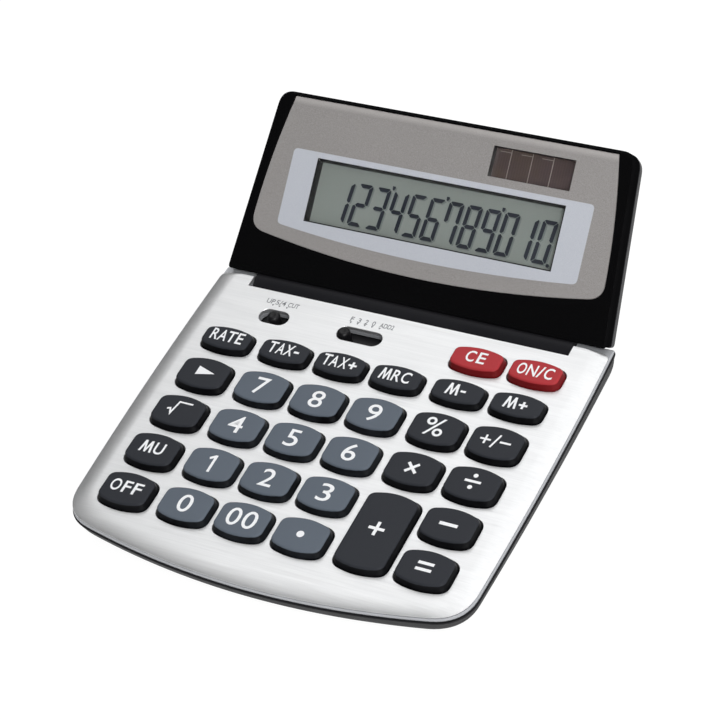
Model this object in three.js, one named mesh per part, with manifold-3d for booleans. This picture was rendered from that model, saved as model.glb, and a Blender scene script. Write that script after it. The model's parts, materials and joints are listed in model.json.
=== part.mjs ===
// Desktop calculator with a sloping key deck and a tilting display, in millimetres, +Z up.
// The calculator stands on its four feet at z = 0, with its front towards -Y.
import * as THREE from 'three';
import { mergeVertices } from 'three/addons/utils/BufferGeometryUtils.js';
import Module from 'manifold-3d';

const wasm = await Module();
wasm.setup();

// Driving sizes of the plan, seen square to the key deck.
// Its origin is the middle of the front row of keys, on the face of the cover.
const halfWidth = 58;
const coverSide = 8.125;
const coverFront = 11.5;
const frontRadius = 218;
const sideRadius = 1150;
const widestPlace = 44;
const frontCorner = 8;
const rearCorner = 2;
const deckHeight = 12.5;
const deckSlope = THREE.MathUtils.degToRad(5);

// Keys, their grid and how they stand in the deck
const keyGap = 1.85;
const groupGap = 2.85;
const rowPitch = 13.8;
const functionStep = 13.15;
const clearStep = 11.75;
const keyDepth = 11.2;
const keyBow = 1.45;
const keyCorner = 2;
const shortKeyDepth = 8.4;
const shortKeyBow = 1.2;
const shortKeyCorner = 1.8;
const keyStand = 2.05;
const keyShoulder = 0.55;
const keyDraft = 0.45;
const keyEdge = 0.55;
const keyCrown = 0.12;
const keyCrownTuck = 0.9;
const keyHoleGap = 0.35;
const flangeThick = 0.8;
const flangeDepth = 0.7;
const flangeSide = 0.3;
const keyTravel = 1.5;

// Cover plate, upper case and lower case
const coverThick = 1;
const coverRollWidth = 5;
const coverRollDrop = 0.8;
const coverSeam = 0.3;
const deckThick = 1.1;
const trimFlare = 0.2;
const caseSeam = 0.3;
const bellyFlare = 0.4;
const bellyDepth = 2;
const bellyTuck = 0.2;
const bellyTurnTuck = 1;
const floorTuck = 8;
const floorFrontTuck = 4.5;
const floorRearTuck = 1.5;
const wall = 1.6;
const floorThick = 1.6;
const tongueDepth = 1.7;
const tongueThick = 1;
const seatGap = 0.3;

// Hinge of the display, behind the deck
const hingeStep = 13.6;
const hingeDrop = 3.9;
const barrelRadius = 4;
const barrelTuck = 10.8;
const notchGap = 0.6;
const notchWall = 1.2;
const troughGap = 0.4;
const shelfThick = 1.5;
const fullTilt = THREE.MathUtils.degToRad(55);
const displayTilt = THREE.MathUtils.degToRad(37.4);
const pinRadius = 1.2;
const pinGap = 0.15;
const pinInBarrel = 7.5;
const pinInEar = 7.5;

// Display housing, measured from the hinge axis along the panel and square to it
const displayFoot = 3.07;
const displayLength = 50.1;
const displayFootTuck = 1.8;
const displayTaper = 3.8;
const displayTopCorner = 4;
const displayFootCorner = 1;
const faceStand = 4.05;
const bezelEdge = 0.75;
const bezelRound = 0.4;
const bezelLip = 0.55;
const bezelWall = 1.5;
const bezelThick = 2.4;
const backDepth = 4.5;
const backEdge = 3.4;
const backEdgeTuck = 0.3;
const backTuck = 2.4;
const backThick = 1.3;

// Window, frame, liquid crystal panel and solar cell
const windowTopMargin = 1.07;
const windowFootMargin = 11.53;
const windowTopTuck = 4.8;
const windowFootTuck = 4;
const windowSideBow = 0.9;
const windowFootBow = 4.6;
const windowCorner = 4;
const windowThick = 0.9;
const windowSink = 0.13;
const windowGap = 0.15;
const frameTuck = 2;
const frameTopMargin = 3;
const frameFootDrop = 0.2;
const frameThick = 0.8;
const frameGap = 0.4;
const screenTuck = 9.2;
const screenRise = 4.7;
const glassBorder = 2;
const glassThick = 1.7;
const solarTuck = 9;
const solarRise = 4.1;
const solarTopMargin = 3.6;
const solarLength = 23.5;
const solarHeight = 8.2;
const solarBorder = 0.8;
const solarThick = 0.9;

// Slide switches to the left of the red keys
const switchRise = 0.2;
const slotHeight = 5.1;
const knobRadius = 1.8;
const knobStand = 0.9;
const knobPlay = 0.2;
const switchPlateDepth = 6;
const switchPlateThick = 0.8;
const sliderWidth = 6;
const sliderDepth = 5.5;
const roundingStep = 7.7;
const roundingTuck = 5.75;
const decimalStep = 0.5;
const decimalTuck = 1.35;

// Circuit board, rubber dome sheet and ribbon cable
const domeFlat = 0.4;
const domeFootRadius = 3;
const domeTopRadius = 1.9;
const sheetThick = 0.5;
const sheetMargin = 0.3;
const boardThick = 1.2;
const boardTuck = 7.8;
const boardFrontTuck = 11.8;
const boardRearTuck = 3.9;
const boardTab = 2.4;
const sheetStepGap = 1.4;
const ribThick = 1.2;
const ribTuck = 11;
const ribbonMiddle = -2;
const ribbonWidth = 20;
const ribbonThick = 0.3;
const ribbonPlay = 0.6;
const ribbonLevel = -1.2;
const ribbonChannel = 1.8;

// Case screws, battery compartment and feet
const frontScrewSideShare = 10 / 29;
const frontScrewTuck = 8.1;
const rearScrewRise = 3.7;
const rearLeftScrewTuck = 11.2;
const rearRightScrewStep = 5.2;
const screwHeadRadius = 1.8;
const screwHeadThick = 1.2;
const screwShankRadius = 1;
const screwShankLength = 5;
const doorScrewLength = 4.4;
const doorScrewHead = 0.8;
const screwGap = 0.3;
const screwWeb = 2;
const pillarRadius = 1.8;
const pillarLength = 3;
const postWall = 1;
const batteryRise = 1.95;
const batteryWidth = 18;
const batteryDepth = 19;
const batteryRoom = 6;
const batteryWall = 1;
const cellRadius = 5.8;
const cellThick = 3.1;
const cellOffset = -3;
const doorScrewOffset = 6;
const contactThick = 0.4;
const contactWidth = 5;
const footSideShare = 21 / 29;
const footFrontTuck = 14.6;
const footRearStep = 2.3;
const footRadius = 4;
const footHeight = 1.2;
const footSink = 0.3;

const overrun = 1;
const weldDistance = 1e-5;
const outlineSteps = 6;
const barrelSides = 24;
const roundSides = 16;
const smallSides = 10;
const domeSides = 8;

// Places in the plan, worked out from the keys that share the width of the cover
const columnGaps = [0, groupGap, keyGap, keyGap, groupGap, keyGap];
const gapsUpTo = (column) => columnGaps.slice(0, column + 1).reduce((sum, gap) => sum + gap, 0);
const padWidth = 2 * (halfWidth - coverSide);
const keyWidth = (padWidth - gapsUpTo(columnGaps.length)) / columnGaps.length;
const columnPlaces = columnGaps.map(
  (_, column) => gapsUpTo(column) + keyWidth * (column + 1 / 2) - padWidth / 2);
const functionRowPlace = 3 * rowPitch + functionStep;
const clearRowPlace = functionRowPlace + clearStep;
const switchPlace = clearRowPlace + switchRise;
const hingePlace = clearRowPlace + hingeStep;
const frontEdge = -keyDepth / 2 - coverFront;
const barrelHalf = halfWidth - barrelTuck;
const roundingLength = keyWidth - roundingTuck;
const decimalLength = keyWidth - decimalTuck;
const roundingMiddle = columnPlaces[0] + roundingStep;
const roundingSlotLeft = roundingMiddle - roundingLength / 2;
const roundingSlotRight = roundingMiddle + roundingLength / 2;
const decimalMiddle = columnPlaces[2] - decimalStep;
const decimalSlotLeft = decimalMiddle - decimalLength / 2;
const decimalSlotRight = decimalMiddle + decimalLength / 2;
const frontScrewSide = halfWidth * frontScrewSideShare;
const frontScrewPlace = frontEdge + frontScrewTuck;
const rearScrewPlace = clearRowPlace + rearScrewRise;
const rearLeftScrewSide = rearLeftScrewTuck - halfWidth;
const rearRightScrewSide = columnPlaces[3] + rearRightScrewStep;
const batterySide = columnPlaces[4];
const batteryPlace = functionRowPlace + batteryRise;
const footSide = halfWidth * footSideShare;
const footFrontPlace = frontEdge + footFrontTuck;
const footRearPlace = clearRowPlace - footRearStep;

// Places on the display, worked out from its housing
const displayFootHalf = halfWidth - displayFootTuck;
const displayTopHalf = displayFootHalf - displayTaper;
const windowTop = displayFoot + displayLength - windowTopMargin;
const windowFoot = displayFoot + windowFootMargin;
const windowTopHalf = displayTopHalf - windowTopTuck;
const windowFootHalf = displayFootHalf - windowFootTuck;
const frameHalf = windowTopHalf - frameTuck;
const frameTop = windowTop - frameTopMargin;
const frameFoot = windowFoot - frameFootDrop;
const screenHalf = frameHalf - screenTuck;
const solarRight = frameHalf - solarTuck;
const solarLeft = solarRight - solarLength;
const solarTop = windowTop - solarTopMargin;
const solarFoot = solarTop - solarHeight;
const screenFoot = windowFoot + screenRise;
const screenTop = solarFoot - solarRise;

// Levels below the face of the cover, worked out from the stack of pieces
const coverUnder = -coverThick;
const deckTop = coverUnder - coverSeam;
const deckUnder = deckTop - deckThick;
const flangeTop = deckUnder - seatGap;
const flangeUnder = flangeTop - flangeThick;
const domeHeight = keyTravel + domeFlat;
const domeTop = flangeUnder - seatGap;
const sheetTop = domeTop - domeHeight;
const sheetUnder = sheetTop - sheetThick;
const boardTop = sheetUnder - seatGap;
const boardUnder = boardTop - boardThick;
const caseRim = deckUnder - caseSeam;
const bellyLevel = caseRim - bellyDepth;
const floorLevel = footHeight;
const earRadius = displayFoot - seatGap;
const earRear = hingePlace + earRadius;
const notchFront = hingePlace - barrelRadius - notchGap;
const notchHalf = barrelHalf + seatGap;
const troughLevel = -hingeDrop - barrelRadius - troughGap;
const cavityRear = notchFront - notchWall - seatGap - caseSeam;
const boardRear = cavityRear - boardRearTuck;
const earTopRear = (level) => (earRadius - (level + hingeDrop) * Math.sin(fullTilt)) / Math.cos(fullTilt);
const coverRear = hingePlace + earTopRear(0) - seatGap;

const slate = { color: 0x555f69, roughness: 0.5, metalness: 0 };
const charcoal = { color: 0x2d2f34, roughness: 0.5, metalness: 0 };
const red = { color: 0xc43636, roughness: 0.45, metalness: 0 };
const silver = { color: 0xd9dadc, roughness: 0.35, metalness: 0.9 };
const trimSilver = { color: 0xb0b2b5, roughness: 0.4, metalness: 0.3 };
const caseGrey = { color: 0x3f4043, roughness: 0.6, metalness: 0 };
const glossBlack = { color: 0x0c0c0e, roughness: 0.12, metalness: 0 };
const taupe = { color: 0x96918e, roughness: 0.15, metalness: 0 };
const paleFrame = { color: 0xb2b6c2, roughness: 0.4, metalness: 0 };
const screenGreen = { color: 0x879484, roughness: 0.25, metalness: 0 };
const solarBrown = { color: 0x483f3a, roughness: 0.25, metalness: 0 };
const boardGreen = { color: 0x2f6b3c, roughness: 0.6, metalness: 0 };
const siliconeGrey = { color: 0x9a9a98, roughness: 0.8, metalness: 0 };
const steel = { color: 0xb8babd, roughness: 0.3, metalness: 1 };
const ribbonAmber = { color: 0xb98238, roughness: 0.45, metalness: 0 };
const rubberBlack = { color: 0x1c1c1d, roughness: 0.9, metalness: 0 };

// Frames: the sloping deck, the tilted display in it, and the level underside
const calculator = new THREE.Group();
const deck = new THREE.Group();
deck.position.z = deckHeight;
deck.rotation.x = deckSlope;
calculator.add(deck);
const display = new THREE.Group();
display.position.set(0, hingePlace, -hingeDrop);
display.rotation.x = displayTilt;
deck.add(display);
deck.updateMatrix();
const deckToLevel = deck.matrix.clone();

function addPiece(group, name, geometry, look) {
  const piece = new THREE.Mesh(geometry, new THREE.MeshStandardMaterial(look));
  piece.name = name;
  group.add(piece);
  return piece;
}

// Geometry helpers
function bareCopy(geometry) {
  const copy = geometry.clone();
  copy.deleteAttribute('normal');
  copy.deleteAttribute('uv');
  return mergeVertices(copy, weldDistance);
}

function toSolid(geometry, matrix) {
  const bare = bareCopy(geometry);
  if (matrix) bare.applyMatrix4(matrix);
  const vertProperties = new Float32Array(bare.getAttribute('position').array);
  const triVerts = new Uint32Array(bare.index.array);
  return new wasm.Manifold(new wasm.Mesh({ numProp: 3, vertProperties, triVerts }));
}

function fromSolid(solid) {
  const mesh = solid.getMesh();
  const geometry = new THREE.BufferGeometry();
  geometry.setAttribute('position', new THREE.BufferAttribute(mesh.vertProperties, 3));
  geometry.setIndex(new THREE.BufferAttribute(mesh.triVerts, 1));
  geometry.computeVertexNormals();
  return geometry;
}

function box(left, right, front, rear, bottom, top) {
  const geometry = new THREE.BoxGeometry(right - left, rear - front, top - bottom);
  return geometry.translate((left + right) / 2, (front + rear) / 2, (bottom + top) / 2);
}

function upright(radius, x, y, bottom, top, sides = roundSides) {
  const geometry = new THREE.CylinderGeometry(radius, radius, top - bottom, sides);
  return geometry.rotateX(Math.PI / 2).translate(x, y, (bottom + top) / 2);
}

function crossRod(radius, left, right, sides = roundSides) {
  const geometry = new THREE.CylinderGeometry(radius, radius, right - left, sides);
  return geometry.rotateZ(Math.PI / 2).translate((left + right) / 2, 0, 0);
}

function prism(outline, bottom, top) {
  const shape = new THREE.Shape(outline);
  const geometry = new THREE.ExtrudeGeometry(shape, { depth: top - bottom, bevelEnabled: false });
  return geometry.translate(0, 0, bottom);
}

// An outline in the plane of depth and height, drawn out along the width
function crossPrism(outline, left, right) {
  const geometry = prism(outline, left, right);
  const turn = new THREE.Matrix4().makeBasis(
    new THREE.Vector3(0, 1, 0), new THREE.Vector3(0, 0, 1), new THREE.Vector3(1, 0, 0));
  return geometry.applyMatrix4(turn);
}

// A closed skin through rings of equally many points, each ring flat and listed from the bottom up
function loft(rings) {
  const count = rings[0].length;
  const positions = rings.flat().flatMap((point) => [point.x, point.y, point.z]);
  const faces = THREE.ShapeUtils.triangulateShape(rings[0].map((p) => new THREE.Vector2(p.x, p.y)), []);
  const index = faces.flatMap(([a, b, c]) => [c, b, a]);
  for (let ring = 0; ring < rings.length - 1; ring += 1) {
    for (let i = 0; i < count; i += 1) {
      const low = ring * count + i;
      const lowNext = ring * count + (i + 1) % count;
      index.push(low, lowNext, lowNext + count, low, lowNext + count, low + count);
    }
  }
  const last = rings.at(-1);
  const lid = THREE.ShapeUtils.triangulateShape(last.map((p) => new THREE.Vector2(p.x, p.y)), []);
  const start = (rings.length - 1) * count;
  index.push(...lid.flatMap(([a, b, c]) => [start + a, start + b, start + c]));
  const geometry = new THREE.BufferGeometry();
  geometry.setAttribute('position', new THREE.Float32BufferAttribute(positions, 3));
  geometry.setIndex(index);
  geometry.computeVertexNormals();
  return geometry;
}

const ringAt = (outline, level) => outline.map((point) => new THREE.Vector3(point.x, point.y, level));

function bend(from, corner, to, steps) {
  return new THREE.QuadraticBezierCurve(from, corner, to).getPoints(steps);
}

// The right half of an outline is drawn from the front to the rear and mirrored
function mirrored(half) {
  const left = half.filter((point) => point.x > weldDistance);
  return [...half, ...left.reverse().map((point) => new THREE.Vector2(-point.x, point.y))];
}

function planOutline(tuck, frontTuck = tuck, rear = earRear) {
  const front = (x) => frontEdge + frontTuck + x * x / (2 * frontRadius);
  const side = (y) => halfWidth - tuck - (y - widestPlace) ** 2 / (2 * sideRadius);
  const cornerX = side(front(halfWidth - tuck));
  const corner = new THREE.Vector2(cornerX, front(cornerX));
  const round = frontCorner;
  const half = [];
  for (let i = 0; i < outlineSteps; i += 1) {
    const x = (cornerX - round) * i / outlineSteps;
    half.push(new THREE.Vector2(x, front(x)));
  }
  const beforeCorner = new THREE.Vector2(cornerX - round, front(cornerX - round));
  const afterCorner = new THREE.Vector2(side(corner.y + round), corner.y + round);
  half.push(...bend(beforeCorner, corner, afterCorner, outlineSteps));
  const sideEnd = rear - rearCorner;
  for (let i = 1; i < outlineSteps; i += 1) {
    const y = THREE.MathUtils.lerp(afterCorner.y, sideEnd, i / outlineSteps);
    half.push(new THREE.Vector2(side(y), y));
  }
  const rearPoint = new THREE.Vector2(side(rear), rear);
  const lastPoint = new THREE.Vector2(rearPoint.x - rearCorner, rear);
  half.push(...bend(new THREE.Vector2(side(sideEnd), sideEnd), rearPoint, lastPoint, 2));
  return mirrored(half);
}

// A key's outline has straight sides, and front and rear edges that bow outwards
function keyOutline(width, depth, bow, corner) {
  const half = width / 2;
  const edge = (x) => depth / 2 - bow * (x / half) ** 2;
  const start = new THREE.Vector2(half, edge(half) - corner);
  const end = new THREE.Vector2(half - corner, edge(half - corner));
  const rearRight = bend(start, new THREE.Vector2(half, edge(half)), end, 2);
  const middleShares = [1 / 3, 0, -1 / 3];
  const middle = middleShares.map((share) => new THREE.Vector2(half * share, edge(half * share)));
  const rearLeft = rearRight.map((point) => new THREE.Vector2(-point.x, point.y)).reverse();
  const rear = [...rearRight, ...middle, ...rearLeft];
  return [...rear, ...rear.map((point) => new THREE.Vector2(-point.x, -point.y))];
}

function moved(outline, x, y) {
  return outline.map((point) => new THREE.Vector2(point.x + x, point.y + y));
}

// Keys by name, from the front row to the rear one, and from left to right
const mainKey = { depth: keyDepth, bow: keyBow, corner: keyCorner };
const shortKey = { depth: shortKeyDepth, bow: shortKeyBow, corner: shortKeyCorner };
const keyRows = [
  { place: 0, shape: mainKey, names: ['off', '0', '00', 'point', '', 'equals'] },
  { place: rowPitch, shape: mainKey, names: ['mu', '1', '2', '3', '', 'minus'] },
  { place: 2 * rowPitch, shape: mainKey, names: ['root', '4', '5', '6', 'times', 'divide'] },
  { place: 3 * rowPitch, shape: mainKey, names: ['arrow', '7', '8', '9', 'percent', 'sign'] },
  { place: functionRowPlace, shape: shortKey,
    names: ['rate', 'tax_minus', 'tax_plus', 'mrc', 'm_minus', 'm_plus'] },
  { place: clearRowPlace, shape: shortKey, names: ['', '', '', '', 'ce', 'on_c'] },
];
const keys = keyRows.flatMap(({ place, shape, names }) => names
  .map((name, column) => ({ name, x: columnPlaces[column], y: place, ...shape }))
  .filter(({ name }) => name));
const plusShape = { depth: keyDepth + rowPitch, bow: keyBow, corner: keyCorner };
keys.push({ name: 'plus', x: columnPlaces[4], y: rowPitch / 2, ...plusShape });

function keyLook(name) {
  if (/^[0-9]+$|^point$/.test(name)) return slate;
  return name === 'ce' || name === 'on_c' ? red : charcoal;
}

function keyRing({ depth, bow, corner }, grow, growDepth, level) {
  const round = Math.max(corner + grow, corner / 2);
  return ringAt(keyOutline(keyWidth + 2 * grow, depth + 2 * growDepth, bow, round), level);
}

for (const key of keys) {
  const top = keyDraft + keyEdge;
  const crown = top + keyCrownTuck;
  const rings = [
    keyRing(key, flangeSide, flangeDepth, flangeUnder),
    keyRing(key, flangeSide, flangeDepth, flangeTop),
    keyRing(key, 0, 0, flangeTop),
    keyRing(key, 0, 0, 0),
    keyRing(key, -keyDraft, -keyDraft, keyStand - keyShoulder),
    keyRing(key, -top, -top, keyStand),
    keyRing(key, -crown, -crown, keyStand + keyCrown),
  ];
  addPiece(deck, `key_${key.name}`, loft(rings), keyLook(key.name)).position.set(key.x, key.y, 0);
}

// Openings through the cover and the upper case, for the keys and the two switches
function slotOutline(left, right) {
  const round = slotHeight / 2;
  const shape = new THREE.Shape();
  shape.absarc(right - round, switchPlace, round, -Math.PI / 2, Math.PI / 2);
  shape.absarc(left + round, switchPlace, round, Math.PI / 2, Math.PI * 3 / 2);
  return shape.getPoints(smallSides / 2).slice(0, -1);
}
const slots = [[roundingSlotLeft, roundingSlotRight], [decimalSlotLeft, decimalSlotRight]];
const openings = [
  ...keys.map(({ x, y, depth, bow, corner }) => moved(keyOutline(
    keyWidth + 2 * keyHoleGap, depth + 2 * keyHoleGap, bow, corner + keyHoleGap), x, y)),
  ...slots.map(([left, right]) => slotOutline(left, right)),
];
const openingCutters = openings.map((outline) => toSolid(prism(outline, deckUnder - overrun, overrun)));
const notchCutter = toSolid(box(
  -notchHalf, notchHalf, notchFront, earRear + overrun, troughLevel - overrun, overrun));

// The rear of the ears is cut back so that the display can swing past them
const earArc = [0, 1 / 3, 2 / 3, 1].map((share) => new THREE.Vector2(
  Math.cos(fullTilt * share), Math.sin(fullTilt * share)).multiplyScalar(earRadius));
const deckFront = frontEdge - bellyFlare - overrun;
const earKeep = toSolid(crossPrism([
  new THREE.Vector2(deckFront, -deckHeight * 2),
  new THREE.Vector2(earRear, -deckHeight * 2),
  ...moved(earArc, hingePlace, -hingeDrop),
  new THREE.Vector2(hingePlace + earTopRear(overrun), overrun),
  new THREE.Vector2(deckFront, overrun),
], -halfWidth - bellyFlare - overrun, halfWidth + bellyFlare + overrun));
const pinReach = notchHalf + pinInEar;
const boreRadius = pinRadius + pinGap;
const earBores = toSolid(crossRod(boreRadius, -pinReach, pinReach).translate(0, hingePlace, -hingeDrop));

// Cover plate, whose edge bends down ever more steeply all round
const rollShares = [1, 3 / 4, 1 / 2, 1 / 4, 0];
const coverRings = [
  ringAt(planOutline(coverSeam, coverSeam, coverRear), coverUnder),
  ...rollShares.map((share) => {
    const tuck = coverRollWidth * (1 - share);
    return ringAt(planOutline(tuck, tuck, coverRear), -coverRollDrop * share ** 2);
  }),
];
let cover = toSolid(loft(coverRings)).subtract(notchCutter);
for (const cutter of openingCutters) cover = cover.subtract(cutter);
addPiece(deck, 'top_cover', fromSolid(cover), silver);

// Upper case: deck, rim tongue, screw pillars and the wall in front of the hinge
const screwPlaces = [
  { name: 'case_screw_front_left', x: -frontScrewSide, y: frontScrewPlace },
  { name: 'case_screw_front_right', x: frontScrewSide, y: frontScrewPlace },
  { name: 'case_screw_rear_left', x: rearLeftScrewSide, y: rearScrewPlace },
  { name: 'case_screw_rear_right', x: rearRightScrewSide, y: rearScrewPlace },
];
const pillarFoot = deckUnder - pillarLength;
const postTop = pillarFoot - seatGap;
const screwSeat = postTop - screwWeb;
const tongueTuck = wall + bellyTuck;
const tongueRear = cavityRear - caseSeam;
const tongueOuter = toSolid(prism(
  planOutline(tongueTuck, tongueTuck, tongueRear), deckUnder - tongueDepth, deckUnder));
const tongueInner = toSolid(prism(
  planOutline(tongueTuck + tongueThick, tongueTuck + tongueThick, tongueRear - tongueThick),
  deckUnder - tongueDepth - overrun, deckUnder + overrun));
let upperCase = toSolid(loft([
  ringAt(planOutline(-trimFlare), deckUnder),
  ringAt(planOutline(0), deckTop),
]));
upperCase = upperCase.add(tongueOuter.subtract(tongueInner));
upperCase = upperCase.add(toSolid(box(
  -barrelHalf, barrelHalf, notchFront - notchWall, notchFront + overrun, troughLevel + caseSeam,
  deckUnder + deckThick / 2)));
for (const { x, y } of screwPlaces) {
  upperCase = upperCase.add(toSolid(upright(pillarRadius, x, y, pillarFoot, deckUnder + deckThick / 2)));
}
upperCase = upperCase.subtract(notchCutter).intersect(earKeep).subtract(earBores);
for (const { x, y } of screwPlaces) {
  upperCase = upperCase.subtract(toSolid(upright(
    screwShankRadius + screwGap / 2, x, y, pillarFoot - overrun, deckUnder, smallSides)));
}
for (const cutter of openingCutters) upperCase = upperCase.subtract(cutter);
const ribbonLeft = ribbonMiddle - ribbonWidth / 2;
const ribbonRight = ribbonMiddle + ribbonWidth / 2;
upperCase = upperCase.subtract(toSolid(box(
  ribbonLeft - ribbonPlay, ribbonRight + ribbonPlay, notchFront - notchWall - overrun, notchFront + overrun,
  troughLevel - overrun, boardTop + ribbonChannel)));
addPiece(deck, 'upper_case', fromSolid(upperCase), trimSilver);

// Lower case: a dish whose floor is level while its rim follows the sloping deck
const bellyShares = [0, 1 / 3, 2 / 3, 1];
function caseSkin(thick, floorLift, rear, rimLift) {
  const floorAt = (y) => (
    floorLevel + floorLift - deckHeight - y * Math.sin(deckSlope)) / Math.cos(deckSlope);
  const ring = (outline, levelAt) => outline.map(
    (point) => new THREE.Vector3(point.x, point.y, levelAt(point.y)).applyMatrix4(deckToLevel));
  const turned = (start, turn, end, share) => (
    start * (1 - share) ** 2 + turn * 2 * share * (1 - share) + end * share ** 2);
  const bellyRings = bellyShares.map((share) => ring(
    planOutline(
      turned(floorTuck, bellyTurnTuck, bellyTuck, share) + thick,
      turned(floorFrontTuck, bellyTurnTuck, bellyTuck, share) + thick,
      rear - turned(floorRearTuck, floorRearTuck / 2, 0, share)),
    (y) => turned(floorAt(y), (floorAt(y) + bellyLevel) / 2, bellyLevel, share)));
  return toSolid(loft([
    ...bellyRings,
    ring(planOutline(thick - bellyFlare, thick - bellyFlare, rear), () => caseRim + rimLift),
  ]));
}
const onDeck = (geometry) => toSolid(geometry, deckToLevel);
const wellRadius = screwHeadRadius + screwGap;
const postRadius = wellRadius + postWall;
const caseOuter = caseSkin(0, 0, earRear, 0);
const caseRoom = caseSkin(wall, floorThick, cavityRear, overrun);
const shelfRoom = caseSkin(wall, floorThick, earRear - wall, 0).subtract(onDeck(box(
  -halfWidth, halfWidth, deckFront, earRear, troughLevel - shelfThick, overrun)));
let lowerCase = caseOuter.subtract(caseRoom).subtract(shelfRoom);
const ribHalf = halfWidth - ribTuck;
const ribShares = [0.23, 0.58, 0.96];
for (const share of ribShares) {
  const place = THREE.MathUtils.lerp(frontEdge + boardFrontTuck, boardRear, share);
  lowerCase = lowerCase.add(onDeck(box(
    -ribHalf, ribHalf, place - ribThick / 2, place + ribThick / 2, -2 * deckHeight, boardUnder - seatGap))
    .intersect(caseOuter));
}
for (const { x, y } of screwPlaces) {
  const post = onDeck(upright(postRadius, x, y, -2 * deckHeight, postTop)).intersect(caseOuter);
  lowerCase = lowerCase.add(post);
}
const batteryHalf = batteryWidth / 2;
const batteryFront = batteryPlace - batteryDepth / 2;
const batteryRear = batteryPlace + batteryDepth / 2;
const batteryRoof = floorLevel + batteryRoom;
lowerCase = lowerCase.add(toSolid(box(
  batterySide - batteryHalf - batteryWall, batterySide + batteryHalf + batteryWall,
  batteryFront - batteryWall, batteryRear + batteryWall, floorLevel, batteryRoof + batteryWall)));
lowerCase = lowerCase.subtract(toSolid(box(
  batterySide - batteryHalf, batterySide + batteryHalf, batteryFront, batteryRear,
  floorLevel - overrun, batteryRoof)));
const doorTop = floorLevel + floorThick;
const doorScrewPlace = batteryPlace + doorScrewOffset;
lowerCase = lowerCase.add(toSolid(upright(
  pillarRadius, batterySide, doorScrewPlace, doorTop + seatGap, batteryRoof + batteryWall / 2)));
lowerCase = lowerCase.subtract(toSolid(upright(
  screwShankRadius + screwGap / 2, batterySide, doorScrewPlace, floorLevel, batteryRoof, smallSides)));
for (const { x, y } of screwPlaces) {
  lowerCase = lowerCase.subtract(onDeck(upright(wellRadius, x, y, -2 * deckHeight, screwSeat)));
  lowerCase = lowerCase.subtract(onDeck(upright(
    screwShankRadius + screwGap, x, y, screwSeat - overrun, postTop + overrun, smallSides)));
}
const feet = [
  { name: 'foot_front_left', x: -footSide, y: footFrontPlace },
  { name: 'foot_front_right', x: footSide, y: footFrontPlace },
  { name: 'foot_rear_left', x: -footSide, y: footRearPlace },
  { name: 'foot_rear_right', x: footSide, y: footRearPlace },
];
for (const { x, y } of feet) {
  lowerCase = lowerCase.subtract(toSolid(upright(
    footRadius + seatGap, x, y, floorLevel - overrun, floorLevel + footSink + seatGap)));
}
const trough = onDeck(box(
  -notchHalf, notchHalf, cavityRear - caseSeam, earRear + overrun, troughLevel, overrun));
lowerCase = lowerCase.subtract(trough);
lowerCase = lowerCase.intersect(earKeep.transform(deckToLevel.elements));
lowerCase = lowerCase.subtract(earBores.transform(deckToLevel.elements));
addPiece(calculator, 'bottom_case', fromSolid(lowerCase), caseGrey);

for (const { name, x, y } of feet) {
  addPiece(calculator, name, upright(footRadius, x, y, 0, floorLevel + footSink), rubberBlack);
}

// Screws are turned about their own axes
function screw(x, y, seat, length = screwShankLength, head = screwHeadThick) {
  const profile = [
    new THREE.Vector2(0, seat - head),
    new THREE.Vector2(screwHeadRadius, seat - head),
    new THREE.Vector2(screwHeadRadius, seat),
    new THREE.Vector2(screwShankRadius, seat),
    new THREE.Vector2(screwShankRadius, seat + length),
    new THREE.Vector2(0, seat + length),
  ];
  return new THREE.LatheGeometry(profile, smallSides).rotateX(Math.PI / 2).translate(x, y, 0);
}
for (const { name, x, y } of screwPlaces) {
  addPiece(deck, name, screw(x, y, screwSeat - screwGap), steel);
}

// Battery compartment: door and its screw, button cell and two sprung contacts
const doorSeat = floorLevel + doorScrewHead + screwGap / 2;
const batteryDoor = toSolid(box(
  batterySide - batteryHalf + seatGap, batterySide + batteryHalf - seatGap,
  batteryFront + seatGap, batteryRear - seatGap, floorLevel, doorTop))
  .subtract(toSolid(upright(
    wellRadius, batterySide, doorScrewPlace, floorLevel - overrun, doorSeat)))
  .subtract(toSolid(upright(
    screwShankRadius + screwGap, batterySide, doorScrewPlace, floorLevel, doorTop + overrun, smallSides)));
addPiece(calculator, 'battery_door', fromSolid(batteryDoor), caseGrey);
addPiece(calculator, 'battery_door_screw', screw(
  batterySide, doorScrewPlace, doorSeat, doorScrewLength, doorScrewHead), steel);
const cellPlace = batteryPlace + cellOffset;
const cellUnder = doorTop + seatGap;
const cellTop = cellUnder + cellThick;
addPiece(calculator, 'button_cell', upright(cellRadius, batterySide, cellPlace, cellUnder, cellTop), steel);
const stripOutline = (near, far, spread) => [
  new THREE.Vector2(-spread, near), new THREE.Vector2(0, far - contactThick),
  new THREE.Vector2(spread, near), new THREE.Vector2(spread, near + contactThick),
  new THREE.Vector2(0, far), new THREE.Vector2(-spread, near + contactThick),
];
const roofReach = cellTop + seatGap - batteryRoof + contactThick;
const roofStrip = stripOutline(-seatGap - contactThick, roofReach, contactWidth)
  .map((point) => new THREE.Vector2(point.x + cellPlace, point.y + batteryRoof)).reverse();
addPiece(calculator, 'battery_contact_top', crossPrism(
  roofStrip, batterySide - contactWidth / 2, batterySide + contactWidth / 2), steel);
const sideReach = batteryHalf - cellRadius - seatGap;
const sideStrip = stripOutline(seatGap, sideReach, contactWidth)
  .map((point) => new THREE.Vector2(batterySide - batteryHalf + point.y, cellPlace - point.x));
addPiece(calculator, 'battery_contact_side', prism(sideStrip, cellUnder, cellTop), steel);

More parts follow.
